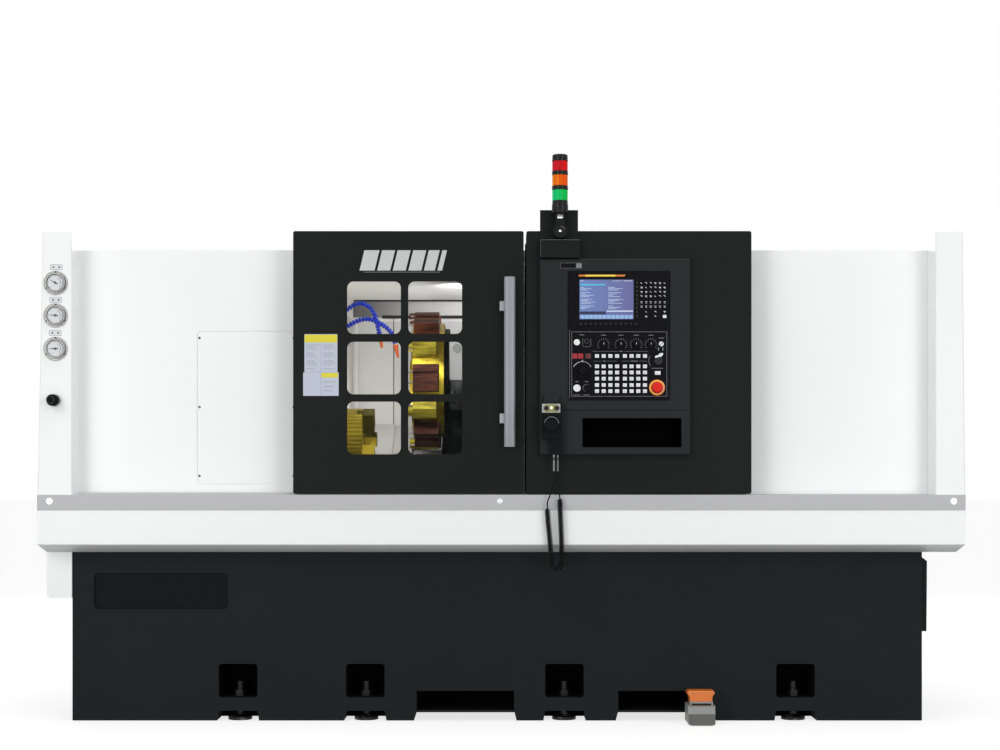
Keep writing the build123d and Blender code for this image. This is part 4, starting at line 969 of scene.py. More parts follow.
class LATHE_OT_solids(LatheOperator):
    """Finish the carried-over solids of the enclosure, the base and the running gear"""

    bl_idname = "lathe.solids"
    bl_label = "Enclosure and running gear"

    def build(self, scene):
        edge = scene.lathe_fittings.edge_round
        fine = edge / 4
        for node, finish, width in (
            ("apron_tray", "sheet white", edge),
            ("left_end_housing", "sheet white", edge),
            ("right_end_housing", "sheet white", edge),
            ("left_front_panel", "sheet white", 0),
            ("right_front_panel", "sheet white", edge),
            ("access_cover", "sheet white", fine),
            ("roof_panel", "sheet white", edge),
            ("rear_panel", "sheet white", 0),
            ("side_box", "sheet white", edge),
            ("sill_strip", "strip grey", edge),
            ("base_casting", "base grey", edge * 1.5),
            ("base_side_cover", "base grey", edge),
            ("levelling_feet", "dark steel", fine),
            ("operator_cabinet", "door black", edge),
            ("panel_housing", "housing grey", fine),
            ("display_unit", "panel black", fine / 2),
            ("machine_panel", "panel black", fine / 2),
            ("door_panel", "door black", fine),
            ("door_window", "glazing", 0),
            ("door_handle", "handle metal", fine),
            ("tower_bracket", "door black", fine),
            ("tower_body", "tower dark", fine),
            ("red_lens", "lens red", fine),
            ("orange_lens", "lens orange", fine),
            ("green_lens", "lens green", fine),
            ("pressure_gauges", "gauge steel", fine),
            ("regulator_knob", "panel black", fine),
            ("pendant", "pendant black", fine),
            ("pendant_dial", "pendant black", fine),
            ("cable_glands", "gland chrome", fine),
            ("stop_button", "stop red", fine),
            ("start_button", "button white", fine),
            ("mode_selector", "key black", fine),
            ("foot_switch", "switch grey", fine),
            ("foot_pedal", "pedal orange", fine),
            ("electrical_cabinet", "cabinet white", fine),
            ("cabinet_door", "cabinet white", edge),
            ("inner_lining", "lining", 0),
            ("bulkhead", "lining", 0),
            ("chip_guards", "lining", fine),
            ("slant_bed", "casting", edge * 1.5),
            ("bed_rails", "ground steel", fine),
            ("feed_screw", "ground steel", 0),
            ("headstock", "casting", edge * 1.5),
            ("spindle_motor", "black plastic", fine),
            ("spindle", "ground steel", fine),
            ("chuck_body", "chuck metal", fine),
            ("chuck_jaw_1", "jaw metal", fine),
            ("chuck_jaw_2", "jaw metal", fine),
            ("chuck_jaw_3", "jaw metal", fine),
            ("carriage", "carriage iron", fine),
            ("turret_slide", "head paint", fine),
            ("turret_disc", "turret metal", fine),
            ("tool_holders", "holder brown", fine),
            ("tailstock", "casting", edge),
            ("tailstock_quill", "ground steel", fine),
            ("coolant_hoses", "hose blue", 0),
        ):
            wear(node, finish, width)


class LATHE_OT_sill_screws(LatheOperator):
    """Domed screws along the sill strip and small screws of the covers"""

    bl_idname = "lathe.sill_screws"
    bl_label = "Cover and sill screws"

    def build(self, scene):
        sizes = scene.lathe_fittings
        strip_xs = (-1737, -5, 1739)
        strip_z = 860
        washer_height = 1.2
        washer = [(0, 11.5), (washer_height, 11.2), (washer_height, 0)]
        cover_low, cover_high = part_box("access_cover")
        cover_inset = 8
        cover_xs = (cover_low.x / MM + cover_inset, cover_high.x / MM - cover_inset)
        cover_zs = (957, 1227, 1498)
        side_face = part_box("base_side_cover")[1].x / MM - 1
        side_y = -575
        side_zs = (390, 590)
        side_head = [(0, 6), (3, 6), (5, 4), (5, 0)]

        def strip_screws(bm):
            for x in strip_xs:
                turn(bm, washer, (x, SILL_FACE, strip_z))
                dome_screw(bm, x, SILL_FACE - washer_height, strip_z, sizes.strip_screw / MM)

        def cover_screws(bm):
            for x in cover_xs:
                for z in cover_zs:
                    dome_screw(bm, x, cover_low.y / MM, z, sizes.cover_screw / MM)

        side_screws = turned_at([(side_face, side_y, z) for z in side_zs], side_head, (1, 0, 0), 20)
        piece("sill_screws", "machine", "bright zinc", strip_screws)
        piece("cover_screws", "machine", "ink black", cover_screws)
        piece("side_screws", "machine", "ink black", side_screws)


class LATHE_OT_gauges(LatheOperator):
    """Dials, needles, glasses and blank plates of the pressure gauges"""

    bl_idname = "lathe.gauges"
    bl_label = "Pressure gauges"

    def build(self, scene):
        rise = scene.lathe_fittings.print_rise / MM
        flange_radius = 46
        bezel_reach = 15
        recess = 4
        dial_radius = 33
        screw_circle = 41.8
        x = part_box("pressure_gauges")[0].x / MM + flange_radius
        heights = (1699.8, 1574.4, 1446.4)
        needle_degrees = (152, 176, 182)
        needle_shape = ((-11, 2.6), (-11, -2.6), (23, -0.5), (23, 0.5))
        hub = [(0, 4.5), (2.2, 4.5), (2.6, 3.5), (2.6, 0)]
        hood = [(0, 38.5), (3, 38.3), (5, 36.8), (5.6, 35.6), (5, 34.4), (3.4, 33.4), (0, 33.2)]
        flange_lip = [(0, 46), (1.2, 45.6), (1.8, 44.6), (1.2, 43.4), (0, 43)]
        inner_shade = [(0, 33), (2.6, 33), (2.6, 30.6), (1.4, 30.2), (0, 30.2)]
        outer_shade = [(0, 40.6), (0.5, 40.6), (0.5, 39.4), (0, 39.4)]
        floor = POST_FACE - bezel_reach + recess
        flange = POST_FACE - 4
        hood_back = POST_FACE - 10.8
        plates = ((-1711.7, 1760.6), (-1713.6, 1634.4), (-1715.9, 1507.5))
        plate_face = POST_FACE - 1
        discs = [circle(x, z, dial_radius - 0.3, 48) for z in heights]

        def marks(bm):
            for z in heights:
                for step in range(31):
                    angle = radians(225 - step * 9)
                    long = step % 5 == 0
                    inner = dial_radius - (9 if long else 6)
                    ends = [(x + r * cos(angle), z + r * sin(angle)) for r in (inner, dial_radius - 3)]
                    ribbon(bm, ends, 1.3 if long else 0.7, floor - rise, floor - 2 * rise)
                arc = circle(x, z, dial_radius - 12, 40, radians(-45), radians(110))
                ribbon(bm, arc, 1.6, floor - rise, floor - 2 * rise)

        def needles(bm):
            for z, degrees in zip(heights, needle_degrees):
                plate(bm, swung(x, z, degrees, needle_shape), floor - 1.2, floor - 1.8)
                turn(bm, hub, (x, floor, z), steps=24)

        def rims(bm):
            for z in heights:
                turn(bm, hood, (x, hood_back, z), steps=64, ring=True)
                turn(bm, flange_lip, (x, flange, z), steps=64, ring=True)

        def shadow_rings(bm):
            for z in heights:
                turn(bm, inner_shade, (x, floor, z), steps=64, ring=True)
                turn(bm, outer_shade, (x, flange, z), steps=64, ring=True)

        def flange_screws(bm):
            for z in heights:
                for screw_x, screw_z in circle(x, z, screw_circle, 3, pi / 2):
                    dome_screw(bm, screw_x, flange, screw_z, 3)

        dials = plates_of(discs, floor, floor - rise)
        glasses = plates_of(discs, floor - 3, floor - 3.6)
        name_plates = plates_of([oblong(px, pz, 47, 21, 2) for px, pz in plates], POST_FACE, plate_face)
        frames = [(oblong(px, pz, 46.6, 20.6, 1.8), oblong(px, pz, 44.6, 18.6, 1.2)) for px, pz in plates]
        borders = bands_of(frames, plate_face, plate_face - rise)
        dots = [circle(px + shift, pz, 3.8, 20) for px, pz in plates for shift in (-11, 11)]
        marks_on_plates = plates_of(dots, plate_face, plate_face - rise)
        piece("gauge_dials", "machine", "dial white", dials)
        piece("gauge_marks", "machine", "ink black", marks)
        piece("gauge_needles", "machine", "ink black", needles)
        piece("gauge_rims", "machine", "gauge steel", rims)
        piece("gauge_shadow_rings", "machine", "ink black", shadow_rings)
        piece("gauge_screws", "machine", "ink black", flange_screws)
        piece("gauge_glasses", "machine", "dial glass", glasses)
        piece("gauge_plates", "machine", "dial white", name_plates)
        piece("gauge_plate_borders", "machine", "ink dim", borders)
        piece("gauge_plate_marks", "machine", "ink dim", marks_on_plates)


class LATHE_OT_door_marks(LatheOperator):
    """Plain slanted bars over the door's windows and the blank notice beside them"""

    bl_idname = "lathe.door_marks"
    bl_label = "Door marks"

    def build(self, scene):
        rise = scene.lathe_fittings.print_rise / MM
        printed_face = DOOR_FACE - rise
        bar_bottom, bar_top = 1748, 1826
        bar_lean = 19
        bar_widths = (58, 50, 50, 50, 42, 18)
        under_bars = [(-530, 1741), (-238, 1741), (-237, 1743), (-529, 1743)]
        left, right = -760, -629
        bottom, split, top = 1265, 1357, 1503
        middle = (left + right) / 2
        bars = []
        x = -546
        for width in bar_widths:
            foot = [(x, bar_bottom), (x + width, bar_bottom)]
            bars.append(foot + [(x + width + bar_lean, bar_top), (x + bar_lean, bar_top)])
            x += width + 10
        fields = (
            oblong(middle, (split + top) / 2, right - left - 4, top - split, 3),
            oblong(middle, (split + bottom) / 2, right - left + 6, split - bottom - 1, 3),
        )
        headers = (
            oblong(middle, top - 17, right - left - 6, 30, 2),
            oblong(middle + 34, split - 12, 64, 18, 1),
        )
        rows = []
        for column in (0, 1):
            start = left + 10 + column * 64
            for row in range(13):
                if row % 4 < 3:
                    length = 50 - (row * 17 + column * 11) % 23
                    rows.append((level_line(start, start + length, top - 42 - row * 7.6), 1.4))
        for row in range(3):
            rows.append((level_line(middle + 8, middle + 56 - row * 6, split - 38 - row * 17), 1.6))
        rows.append(([(middle, split + 4), (middle, top - 36)], 0.8))
        rows.append(([(middle, bottom + 4), (middle, split - 4)], 0.8))
        on_door = (DOOR_FACE, printed_face)
        on_field = (printed_face, printed_face - rise)
        piece("door_bars", "door", "field silver", plates_of(bars, *on_door))
        piece("door_underline", "door", "ink grey", plates_of([under_bars], *on_door))
        piece("notice_fields", "door", "field pale", plates_of(fields, *on_door))
        piece("notice_headers", "door", "field yellow", plates_of(headers, *on_field))
        piece("notice_rows", "door", "ink grey", lines_of(rows, *on_field))


class LATHE_OT_handle(LatheOperator):
    """Smooth facing of the door handle's grip"""

    bl_idname = "lathe.handle"
    bl_label = "Door handle"

    def build(self, scene):
        low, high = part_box("door_handle")
        front = low.y / MM
        handle_width = 42
        margin = 8.5
        bottom, top = 1071, 1717
        left = high.x / MM - handle_width + margin
        right = high.x / MM - margin
        facing = blocks_of([((left, front - 0.5, bottom), (right, front + 0.2, top))], 0.15)
        piece("handle_facing", "door", "handle face", facing)


class LATHE_OT_display(LatheOperator):
    """Screen picture, key caps and trim of the display unit"""

    bl_idname = "lathe.display"
    bl_label = "Display unit"

    def build(self, scene):
        rise = scene.lathe_fittings.print_rise / MM
        face = INSERT_FACE
        floor = face + 2
        key_level = face - 1.4
        left, right = 300, 507.5
        bottom, top = 1558.5, 1710.5
        picture = oblong((left + right) / 2, (bottom + top) / 2, right - left, top - bottom, 1)
        rows = []
        for column in (0, 1):
            start = left + 4 + column * 106
            for row in range(17):
                if row not in (3, 8, 13):
                    length = 14 + (row * 29 + column * 13) % 46
                    rows.append((level_line(start, start + length, top - 30 - row * 5.1), 1.5))
        rows.append((level_line(left + 3, left + 16, top - 5), 2.2))
        for start in range(left + 128, left + 164, 9):
            rows.append((level_line(start, start + 5, top - 5), 2.6))
        rows.append((level_line(left + 168, left + 202, top - 5), 2.2))
        rows.append((level_line(left + 104, right - 3, bottom + 31), 4.4))
        bar = [(level_line(left + 3, left + 98, top - 20), 4.6)]
        navy = [oblong(left + 51, bottom + 24, 100, 11)]
        tabs = [oblong(left + 11 + i * 16.9, bottom + 9, 15, 14, 1) for i in range(12)]

        low, high = 1722, 1729
        trim = [(297, low), (471, low), (477, high), (297, high)]
        trim_ends = (
            [(297, low), (322, low), (322, high), (297, high)],
            [(438, low), (471, low), (477, high), (438, high)],
        )

        data_xs = [582 + (column - 2.5) * 17.7 for column in range(6)]
        data_zs = (1696.5, 1679.7, 1662.8, 1646, 1622.5, 1606, 1586.5, 1568.5)
        number_rows = (4, 5)
        half_rows = (6, 7)
        marks = []
        for column, x in enumerate(data_xs):
            for row, z in enumerate(data_zs):
                kind = (row * 7 + column * 3) % 5
                if row in half_rows and column % 2 == 0:
                    continue
                if row in number_rows:
                    marks.append((level_line(x - 4, x + 4, z + 2.6), 1.8))
                    marks.append((level_line(x - 3, x + 3, z - 2.4), 1.4))
                elif kind == 0:
                    marks.append(([(x - 3.6, z + 2), (x + 2, z - 2)], 1.8))
                elif kind in (1, 3):
                    marks.append(([(x - 4, z + 2.4), (x + 1, z + 2.4), (x + 3, z - 2)], 1.9))
                else:
                    marks.append((level_line(x - 4, x + 3.6, z + 1), 3))
                    marks.append((level_line(x - 2, x + 3, z - 3), 1.2))

        x, z = data_xs[-1], data_zs[-1]
        input_key = [((x - 6.5, face - 2.6, z - 6), (x + 6.5, key_level, z + 6))]
        soft_keys = []
        for i in range(12):
            x = 410 + (i - 5.5) * 19.3
            soft_keys.append(((x - 4, key_level - 0.8, 1538), (x + 4, key_level, 1544)))
        for i in range(9):
            z = 1634 + (i - 4) * 16
            soft_keys.append(((516.8, key_level - 0.8, z - 4), (523.2, key_level, z + 4)))

        on_face = (face, face - rise)
        on_trim = (face - rise, face - 2 * rise)
        on_floor = (floor, floor - rise)
        on_screen = (floor - rise, floor - 2 * rise)
        on_keys = (key_level, key_level - rise)
        for name, finish, build in (
            ("screen_face", "screen blue", plates_of([picture], *on_floor)),
            ("screen_rows", "screen pale", lines_of(rows, *on_screen)),
            ("screen_bar", "screen cyan", lines_of(bar, *on_screen)),
            ("screen_band", "screen navy", plates_of(navy, *on_screen)),
            ("screen_tabs", "screen tab", plates_of(tabs, *on_screen)),
            ("display_trim", "strip yellow", plates_of([trim], *on_face)),
            ("display_trim_ends", "strip orange", plates_of(trim_ends, *on_trim)),
            ("data_key_marks", "ink white", lines_of(marks, *on_keys)),
            ("input_key", "key white", blocks_of(input_key, 0.6)),
            ("soft_key_caps", "key black", blocks_of(soft_keys, 0.4)),
        ):
            piece(name, "machine", finish, build)


class LATHE_OT_machine_panel(LatheOperator):
    """Key caps, scales, digits and rings of the machine panel"""

    bl_idname = "lathe.machine_panel"
    bl_label = "Machine panel"

    def build(self, scene):
        rise = scene.lathe_fittings.print_rise / MM
        face = INSERT_FACE
        key_top = face - 2.5
        mark_level = key_top - 1
        key_zs = (1417, 1377.2, 1353.8, 1330, 1305.6, 1282.3)
        key_xs = [centre + (i - 1.5) * 25.7 for centre in (405.3, 512.2) for i in range(4)]
        knob_xs = (392.3, 458.5, 517.4, 573.7)
        knob_z = 1459
        scale_z = 1461
        digit_z = 1417
        digit_xs = (282, 304)
        power = (289.6, 1469.4)
        hold = (327, 1294.6)
        stop = (597, 1296)
        dial_scale = (310.5, 1358.4)

        cap_top = key_top + 0.1
        caps = [((588.5, mark_level, 1345), (610.5, cap_top, 1359))]
        for z in key_zs:
            for x in key_xs:
                caps.append(((x - 7.7, mark_level, z - 6.8), (x + 7.7, cap_top, z + 6.8)))
        cap_marks = []
        for number, z in enumerate(key_zs):
            for i, x in enumerate(key_xs):
                length = 1.6 + (i * 5 + number * 3) % 4
                cap_marks.append((level_line(x - length, x + length, z), 1.3))
                if (i + number) % 3 == 0:
                    cap_marks.append((level_line(x - 2, x + 2, z - 3.6), 0.8))

        scales = []
        for x in knob_xs:
            for step in range(11):
                angle = radians(210 - step * 24)
                scales.append(([(x + r * cos(angle), scale_z + r * sin(angle)) for r in (19, 24)], 1.6))
            scales.append((level_line(x - 9, x + 9, 1497), 2.2))
        for left, right, z, width in (
            (350, 446, 1435, 1),
            (472, 562, 1435, 1),
            (452, 466, 1435, 2.6),
            (352, 386, 1397.5, 0.9),
            (404, 444, 1397.5, 0.9),
            (462, 492, 1397.5, 0.9),
            (528, 560, 1397.5, 0.9),
            (390, 400, 1397.5, 2.6),
            (496, 524, 1397.5, 2.6),
            (577, 620, 1370, 2),
            (604, 624, 1486, 2.4),
            (284, 296, 1319, 2.4),
            (278, 302, 1268, 1.8),
            (321, 333, 1319, 2.4),
            (315, 339, 1268, 1.8),
            (300, 318, 1498, 2.2),
        ):
            scales.append((level_line(left, right, z), width))
        scales.append((circle(601.8, 1399.7, 36, 24, radians(150), radians(66)), 1.5))

        arcs = [
            (circle(*dial_scale, 37.2, 30, radians(27), radians(126)), 2),
            ([(310.5, 1398.4), (310.5, 1402)], 3),
        ]
        for start in (-42, 138):
            arcs.append((circle(611, 1444, 9, 10, radians(start), radians(84)), 1.2))
        bracket = [
            ([(312, 1484), (312, 1458), (316, 1453), (339, 1453), (343, 1458), (343, 1484)], 1.6),
            (circle(327.6, 1474, 8, 20), 1.2),
        ]
        lit_digits = [oblong(x, digit_z, 19, 19, 1) for x in digit_xs]
        dim_digit = [oblong(333, digit_z, 22, 19, 1)]
        segments = [([(335, 1409), (335, 1425)], 2.4)]
        gaps = []
        for x in digit_xs:
            gaps.append(([(x - 2.5, 1412), (x - 2.5, 1415.5), (x + 2.5, 1415.5)], 1.6))
            gaps.append((level_line(x - 2.5, x + 2.5, 1421), 1.4))

        button = [(0, 11.7), (1.2, 11.7), (2, 10.6), (2, 0)]
        bezel = [(0, 13.4), (4.9, 13.2), (4.9, 0)]
        collar = [(0.2, 30.6), (4, 30.4), (5, 30), (6, 28), (6.4, 24), (6.4, 21.5), (0.2, 21.5)]
        # painted highlight: a lighter yellow arc on the stop button's collar
        glow = [(circle(*stop, 26, 30, radians(20), radians(250)), 2.6)]
        skirt = [(0, 14), (2, 14), (4, 12), (4, 0)]
        rib = [(3, 1.1), (13, 1.0), (13.6, 0.5), (13.6, 0)]
        dial = [(0, 32), (5, 32), (7, 30), (7, 20), (18, 18), (20, 16), (20, 0)]
        lever = ((-17, -3), (2, -4.4), (4, -8), (17, -1), (16, 5), (3, 8), (2, 4), (-16, 4))
        lever_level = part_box("mode_selector")[0].y / MM
        knob_lines = [([(x, scale_z), (x, scale_z + 7)], 1.6) for x in knob_xs]
        halves = [circle(613.5, 1463.5, 9.2, 20, radians(start), radians(166)) for start in (62, 242)]

        def border(bm):
            outer = oblong(452.4, 1386.3, 366, 248.6, 2)
            inner = oblong(452.4, 1386.3, 363.4, 246, 1.5)
            band(bm, outer, inner, face, face - rise)
            ribbon(bm, [(262, 1254), (262, 1517)], 1.2, face, face - rise)

        def hold_ring(bm):
            band(bm, circle(*hold, 14.4, 36), circle(*hold, 13, 36), face - 3, face - 3.4)
            band(bm, circle(*hold, 9, 36), circle(*hold, 8, 36), face, face - 0.6)

        def knob_skirts(bm):
            for x in knob_xs:
                turn(bm, skirt, (x, face, knob_z), steps=36)
                for rib_x, rib_z in circle(x, knob_z, 11, 16):
                    turn(bm, rib, (rib_x, face, rib_z), steps=8)

        on_face = (face, face - rise)
        on_digits = (face - rise, face - 2 * rise)
        on_caps = (mark_level, mark_level - rise)
        hold_band = [(circle(*hold, 15, 36), circle(*hold, 12.6, 36))]
        power_bezel = turned_at([(power[0], face, power[1])], bezel, steps=36)
        power_cap = turned_at([(power[0], face - 4.9, power[1])], button, steps=36)
        stop_collar = turned_at([(stop[0], face, stop[1])], collar, steps=48, ring=True)
        hand_dial = turned_at([(311.5, face - 3, 1361)], dial, steps=48)
        for name, finish, build in (
            ("panel_key_caps", "key white", blocks_of(caps, 0.7)),
            ("panel_key_marks", "ink grey", lines_of(cap_marks, *on_caps)),
            ("panel_border", "ink grey", border),
            ("panel_scales", "ink grey", lines_of(scales, *on_face)),
            ("panel_arcs", "ink white", lines_of(arcs, *on_face)),
            ("panel_bracket", "ink dim", lines_of(bracket, *on_face)),
            ("lit_digits", "digit red", plates_of(lit_digits, *on_face)),
            ("dim_digit", "digit dark", plates_of(dim_digit, *on_face)),
            ("digit_segments", "digit red", lines_of(segments, *on_digits)),
            ("digit_gaps", "digit dark", lines_of(gaps, *on_digits)),
            ("power_button_bezel", "key black", power_bezel),
            ("power_button_cap", "button white", power_cap),
            ("button_rings", "key black", bands_of(hold_band, face, face - 3)),
            ("hold_button_ring", "ink grey", hold_ring),
            ("stop_collar", "collar yellow", stop_collar),
            ("stop_collar_highlight", "strip yellow", lines_of(glow, face - 5.9, face - 6.5)),
            ("knob_skirts", "panel black", knob_skirts),
            ("knob_marks", "ink white", lines_of(knob_lines, face - 14, face - 14 - rise)),
            ("hand_dial", "panel black", hand_dial),
        ):
            piece(name, "machine", finish, build)
        lever_cap = plates_of([swung(604.3, 1417.7, 23, lever)], lever_level + 2, lever_level - 0.8)
        piece("selector_lever", "selector", "key white", lever_cap)
        key_switch = plates_of(halves, face, face - 1.2)
        piece("key_switch", "machine", "button white", key_switch)


class LATHE_OT_housing_trim(LatheOperator):
    """Blank plate of the panel housing, the cabinet's seal, and near-black sheets lining the tray as painted
    shade in its recess
    """

    bl_idname = "lathe.housing_trim"
    bl_label = "Housing trim"

    def build(self, scene):
        rise = scene.lathe_fittings.print_rise / MM
        plate_level = HOUSING_FACE - 1.2
        x, z = 267, 1763.4
        left, right = 312, 690
        bottom, top = 1068, 1178
        mouth, back = -873, -795
        wall = 0.8
        # painted shade: near-black sheets line the tray's back, top, bottom and sides
        tray = (
            ((left, back - 1, bottom), (right, back - 0.2, top)),
            ((left, mouth, top - 1), (right, back, top + wall)),
            ((left, mouth, bottom - wall), (right, back, bottom + 1)),
            ((left - wall, mouth, bottom), (left + 1, back, top)),
            ((right - 1, mouth, bottom), (right + wall, back, top)),
        )
        seal = [((91, -838, 888), (96.4, -828, 1852))]

        def plate_marks(bm):
            band(bm, oblong(x, z, 82, 21, 1.5), oblong(x, z, 80, 19, 1.2), plate_level, plate_level - rise)
            plate(bm, oblong(x + 30, z, 20, 17, 1), plate_level, plate_level - rise)

        blank_plate = plates_of([oblong(x, z, 84, 23, 2)], HOUSING_FACE, plate_level)
        piece("housing_plate", "machine", "panel black", blank_plate)
        piece("housing_plate_marks", "machine", "ink grey", plate_marks)
        piece("cabinet_seal", "machine", "recess black", blocks_of(seal, 0.5))
        piece("tray_painted_shade", "machine", "recess black", blocks_of(tray))


class LATHE_OT_pendant(LatheOperator):
    """Face plate, lamp and knobs of the hand pendant, and a painted highlight along its dial's rim"""

    bl_idname = "lathe.pendant"
    bl_label = "Hand pendant"

    def build(self, scene):
        rise = scene.lathe_fittings.print_rise / MM
        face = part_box("pendant")[0].y / MM + 11
        plate_level = face - 1.2
        dial_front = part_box("pendant_dial")[0].y / MM
        dial_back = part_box("pendant_dial")[1].y / MM
        dial = (191.5, 1155)
        knob_xs = (171.7, 211.8)
        knob_z = 1216
        lamp_x, lamp_z = 190.4, 1217
        knob = [(1.2, 9), (3, 9), (4, 8), (12, 7.2), (13.5, 6), (13.5, 0)]
        knob_rib = [(4, 1.0), (12.5, 0.9), (12.5, 0)]
        lamp_ring = [(1.2, 7), (2, 6.6), (2, 4.8), (1.2, 4.8)]
        lamp = [(1.2, 4.6), (3.2, 4.4), (4.4, 3), (4.8, 0)]
        grip_rib = [(0, 1.2), (12.4, 1.2), (12.4, 0)]
        face_plate = plates_of([oblong(190, 1215.5, 70, 34, 2)], face, plate_level)
        field = plates_of([oblong(190.5, 1215.5, 46, 29, 1)], plate_level, plate_level - rise)
        # painted highlight: a thin light arc along the dial's rim
        scale = [(circle(*dial, 27.4, 36, radians(4), radians(166)), 1.8)]
        grip = [(x, dial_back - 7.2, z) for x, z in circle(*dial, 28.6, 40)]

        def knobs(bm):
            for x in knob_xs:
                turn(bm, knob, (x, face, knob_z), steps=28)
                for rib_x, rib_z in circle(x, knob_z, 7.4, 12):
                    turn(bm, knob_rib, (rib_x, face, rib_z), steps=6)

        piece("pendant_plate", "machine", "pendant plate", face_plate)
        piece("pendant_field", "machine", "pendant gold", field)
        piece("pendant_knobs", "machine", "key black", knobs)
        around_lamp = turned_at([(lamp_x, face, lamp_z)], lamp_ring, steps=28, ring=True)
        piece("pendant_lamp_ring", "machine", "pendant gold", around_lamp)
        lamp_dome = turned_at([(lamp_x, face, lamp_z)], lamp, steps=20)
        piece("pendant_lamp", "machine", "lit lamp", lamp_dome)
        rim_highlight_arc = lines_of(scale, dial_front + 2, dial_front - rise)
        piece("pendant_rim_highlight", "dial", "ink grey", rim_highlight_arc)
        dial_grip = turned_at(grip, grip_rib, steps=6)
        piece("pendant_grip", "dial", "pendant black", dial_grip)


def route_curve(name, points):
    """Smooth open NURBS line with the points as its control points, in metres"""
    data = bpy.data.curves.new(name, "CURVE")
    data.dimensions = "3D"
    data.resolution_u = 12
    spline = data.splines.new("NURBS")
    spline.points.add(len(points) - 1)
    for control, point in zip(spline.points, points):
        control.co = (*point, 1)
    spline.order_u = 3
    spline.use_endpoint_u = True
    made = bpy.data.objects.new(name, data)
    bpy.context.scene.collection.objects.link(made)
    return made


def points_along(route):
    """Points of a route's own smooth line"""
    bpy.context.view_layer.update()
    seen = route.evaluated_get(bpy.context.evaluated_depsgraph_get())
    mesh = bpy.data.meshes.new_from_object(seen)
    points = [vert.co.copy() for vert in mesh.vertices]
    bpy.data.meshes.remove(mesh)
    return points


def line_length(points):
    return sum((b - a).length for a, b in zip(points, points[1:]))


class LATHE_OT_cord(LatheOperator):
    """The pendant's curly cord from its gland round to the housing's gland"""

    bl_idname = "lathe.cord"
    bl_label = "Curly cord"

    def build(self, scene):
        sizes = scene.lathe_cord
        left_lead = (
            (0.201, -0.893, 0.976),
            (0.201, -0.893, 0.948),
            (0.197, -0.890, 0.910),
            (0.185, -0.882, 0.880),
            (0.1748, -0.877, 0.853),
        )
        coil = (
            (0.176, -0.877, 0.832),
            (0.1785, -0.877, 0.790),
            (0.1835, -0.877, 0.742),
            (0.188, -0.877, 0.694),
            (0.191, -0.877, 0.647),
            (0.1915, -0.877, 0.602),
            (0.2315, -0.877, 0.602),
            (0.232, -0.877, 0.650),
            (0.231, -0.877, 0.704),
            (0.229, -0.877, 0.758),
            (0.2263, -0.877, 0.814),
            (0.2246, -0.877, 0.870),
        )
        right_lead = (
            (0.224, -0.877, 0.890),
            (0.221, -0.871, 0.916),
            (0.2165, -0.860, 0.945),
            (0.2165, -0.860, 0.976),
        )
        guide = route_curve("coil_route", coil)
        along = points_along(guide)
        bpy.data.objects.remove(guide)
        turns = helix_points(along, sizes.helix_radius, sizes.cord_radius, sizes.turn_steps)
        points = [Vector(p) for p in left_lead] + turns + [Vector(p) for p in right_lead]
        cord = route_curve("curly_cord", points)
        length = line_length(points_along(cord))
        cord.data.resolution_u = 3
        cord.data.bevel_depth = sizes.cord_radius
        cord.data.bevel_resolution = 3
        cord.data.use_fill_caps = True
        cord.data.materials.append(finish_of("cord black"))
        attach(cord, "machine")
        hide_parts("cord_lead_left", "cord_coil", "cord_lead_right")


def helix_points(along, radius, cord_radius, steps):
    """Turns about a line, opened where the line bends so that they stay clear of each other"""
    travelled = [0.0]
    for a, b in zip(along, along[1:]):
        travelled.append(travelled[-1] + (b - a).length)
    total = travelled[-1]
    normal = Vector((0, 1, 0))
    first_spread = 0.25
    lead_in = 0.008
    free_gap = 1.5
    least_gap = 1.12
    least_inner = 0.35

    def place(distance):
        for i in range(len(along) - 1):
            if travelled[i + 1] >= distance or i == len(along) - 2:
                run = travelled[i + 1] - travelled[i] or 1
                part = (distance - travelled[i]) / run
                point = along[i].lerp(along[i + 1], part)
                before = (along[max(i, 1)] - along[max(i, 1) - 1]).normalized()
                after_index = min(i + 2, len(along) - 1)
                after = (along[after_index] - along[after_index - 1]).normalized()
                return point, before.lerp(after, 0.5).normalized()

    def tightness(distance):
        reach = 0.006
        here = place(max(distance - reach, 0))[1]
        there = place(min(distance + reach, total))[1]
        return here.angle(there) / (2 * reach)

    points = []
    distance = 0.0
    angle = 0.0
    while distance < total:
        point, direction = place(distance)
        side = direction.cross(normal).normalized()
        ends = min(distance, total - distance)
        spread = radius * min(1, first_spread + ends / lead_in)
        points.append(point + (side * cos(angle) + normal * sin(angle)) * spread)
        bend = tightness(distance)
        inner = max(1 - bend * radius, least_inner)
        pitch = max(2 * cord_radius * free_gap, 2 * cord_radius * least_gap / inner)
        distance += pitch / steps
        angle += tau / steps
    return points


